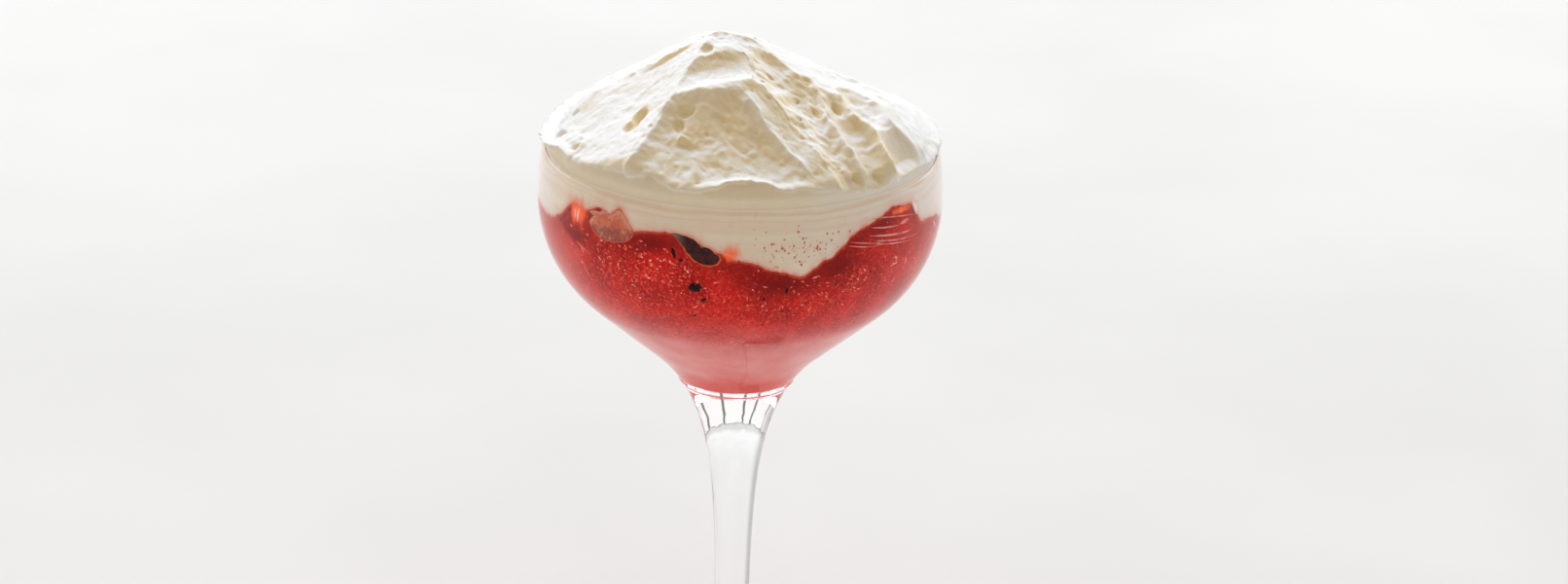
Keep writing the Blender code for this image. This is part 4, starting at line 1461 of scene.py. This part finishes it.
# %% Pale fruit
chunk = Recipe(
    "pale wet fruit",
    roughness=0.3,
    subsurface_weight=0.4,
    subsurface_radius=(1.0, 0.4, 0.3),
    subsurface_scale=1.5 * MM,
)
flesh = chunk.noise(2.5, detail=3.0).between(0.35, 0.7)
juice = chunk.noise(0.7, detail=4.0, roughness=0.7)
up_the_chunk = chunk.height() + (flesh - 0.5) * 1.5
inset = chunk.painted("inset")
at_foot = up_the_chunk.between(153, 150) * juice.between(0.3, 0.55)
at_top = (inset + (juice - 0.5) * 1.8).between(1.3, 0.3) * up_the_chunk.between(151.5, 153)
chunk_tone = chunk.layered(
    (0.84, 0.17, 0.09),
    (flesh, (0.98, 0.36, 0.21)),
    (juice.between(0.50, 0.62) * 0.6, (0.50, 0.08, 0.04)),
    (at_foot * 0.75, (0.30, 0.045, 0.03)),
    (at_top * 0.75, (1.0, 0.54, 0.38)),
    ((inset + (juice - 0.5)).between(0.5, 0.1) * 0.8, (0.86, 0.12, 0.07)),
)
chunk.set("Base Color", chunk_tone)
chunk.set("Normal", chunk.bump(flesh, 0.2, 0.5))
place(chunk_mesh, chunk, "pale_fruit", "fruit_chunk")

# %% [markdown]
# ## Table and light
#
# White food on a white table lives by soft light from behind: it brightens everything that
# faces up and leaves the steep faces in a warm shade, so that every crest is drawn. The table is
# faintly cloudy stone, and darker far behind, where the lamps would bleach it.

# %% Table
TABLE_HALF = 4.0

table_mesh = bpy.data.meshes.new("table")
corners = [(x * TABLE_HALF, y * TABLE_HALF, 0) for x, y in ((-1, -1), (1, -1), (1, 1), (-1, 1))]
table_mesh.from_pydata(corners, [], [(0, 1, 2, 3)])
stone = Recipe("pale table", roughness=0.9, specular_ior_level=0.0)
stone_tone = stone.layered(
    (0.70, 0.69, 0.68),
    (stone.noise(180, detail=3.0).between(0.3, 0.7), (0.74, 0.73, 0.72)),
    (stone.along("Y", stone.place).between(800, 1500), (0.50, 0.49, 0.48)),
)
stone.set("Base Color", stone_tone)
table_mesh.materials.append(stone.owner)
table = bpy.data.objects.new("table", table_mesh)
bpy.context.scene.collection.objects.link(table)
print(f"table {2 * TABLE_HALF:.0f} m wide")

# %% [markdown]
# Three large lamps stand behind the glass: on the left, high in the middle, and on the right.
# They are large and far away, so that the crests of the cream cast soft shadows.

# %% Lamps
LAMP_AWAY = 3.2
LAMP_SIZE = 1.8
LAMP_COLOUR = (0.84, 0.92, 1.0)
# Each lamp: name, direction it comes from, and power in watts.
LAMPS = (
    ("left_lamp", (-0.75, 0.75, 0.70), 33),
    ("back_lamp", (-0.25, 0.75, 0.85), 41),
    ("right_lamp", (0.60, 0.70, 0.60), 42),
)

for name, comes_from, power in LAMPS:
    lamp = bpy.data.lights.new(name, "AREA")
    lamp.size, lamp.energy, lamp.color = LAMP_SIZE, power, LAMP_COLOUR
    thing = bpy.data.objects.new(name, lamp)
    bpy.context.scene.collection.objects.link(thing)
    towards = Vector(comes_from).normalized()
    thing.matrix_world = Matrix.Translation(LOOK_AT + towards * LAMP_AWAY) @ (
        towards.to_track_quat("Z", "Y").to_matrix().to_4x4()
    )
print(f"{len(LAMPS)} lamps, {LAMP_AWAY} m away")

# %% [markdown]
# The room does the rest. Its far wall is bright, with dark posts between the windows, which the
# stem bends into thin lines; the near wall is warm and dim; and both side walls are dark, which
# gives the glass an edge.

# %% Room
NEAR_WALL = (0.49, 0.41, 0.31)
FAR_WALL = (1.0, 0.99, 0.97)
RIGHT_WALL = (0.25, 0.25, 0.26)
LEFT_WALL = (0.35, 0.35, 0.36)
POST_COLOUR = (0.20, 0.20, 0.19)
# Each post between two windows: its place across the view, and its width.
POSTS = ((-0.62, 0.02), (-0.31, 0.022), (-0.13, 0.022), (0.17, 0.025), (0.58, 0.05))

bpy.context.scene.world = bpy.data.worlds.new("pale room")
room = Tree(bpy.context.scene.world)
direction = room.node("ShaderNodeTexCoord", output="Generated")
across, away = (room.along(axis, direction) for axis in "XY")
walls = room.layered(
    NEAR_WALL,
    (away.between(-0.3, 0.7), FAR_WALL),
    (across.between(0.75, 0.95), RIGHT_WALL),
    (across.between(-0.9, -0.98), LEFT_WALL),
    *((abs(across - post).between(width, width / 2), POST_COLOUR) for post, width in POSTS),
)
room.feed(room.nodes["Background"].inputs["Color"], walls)
bpy.context.scene.view_settings.view_transform = "Standard"
print(f"{len(POSTS)} window posts")

# %% [markdown] ## The end
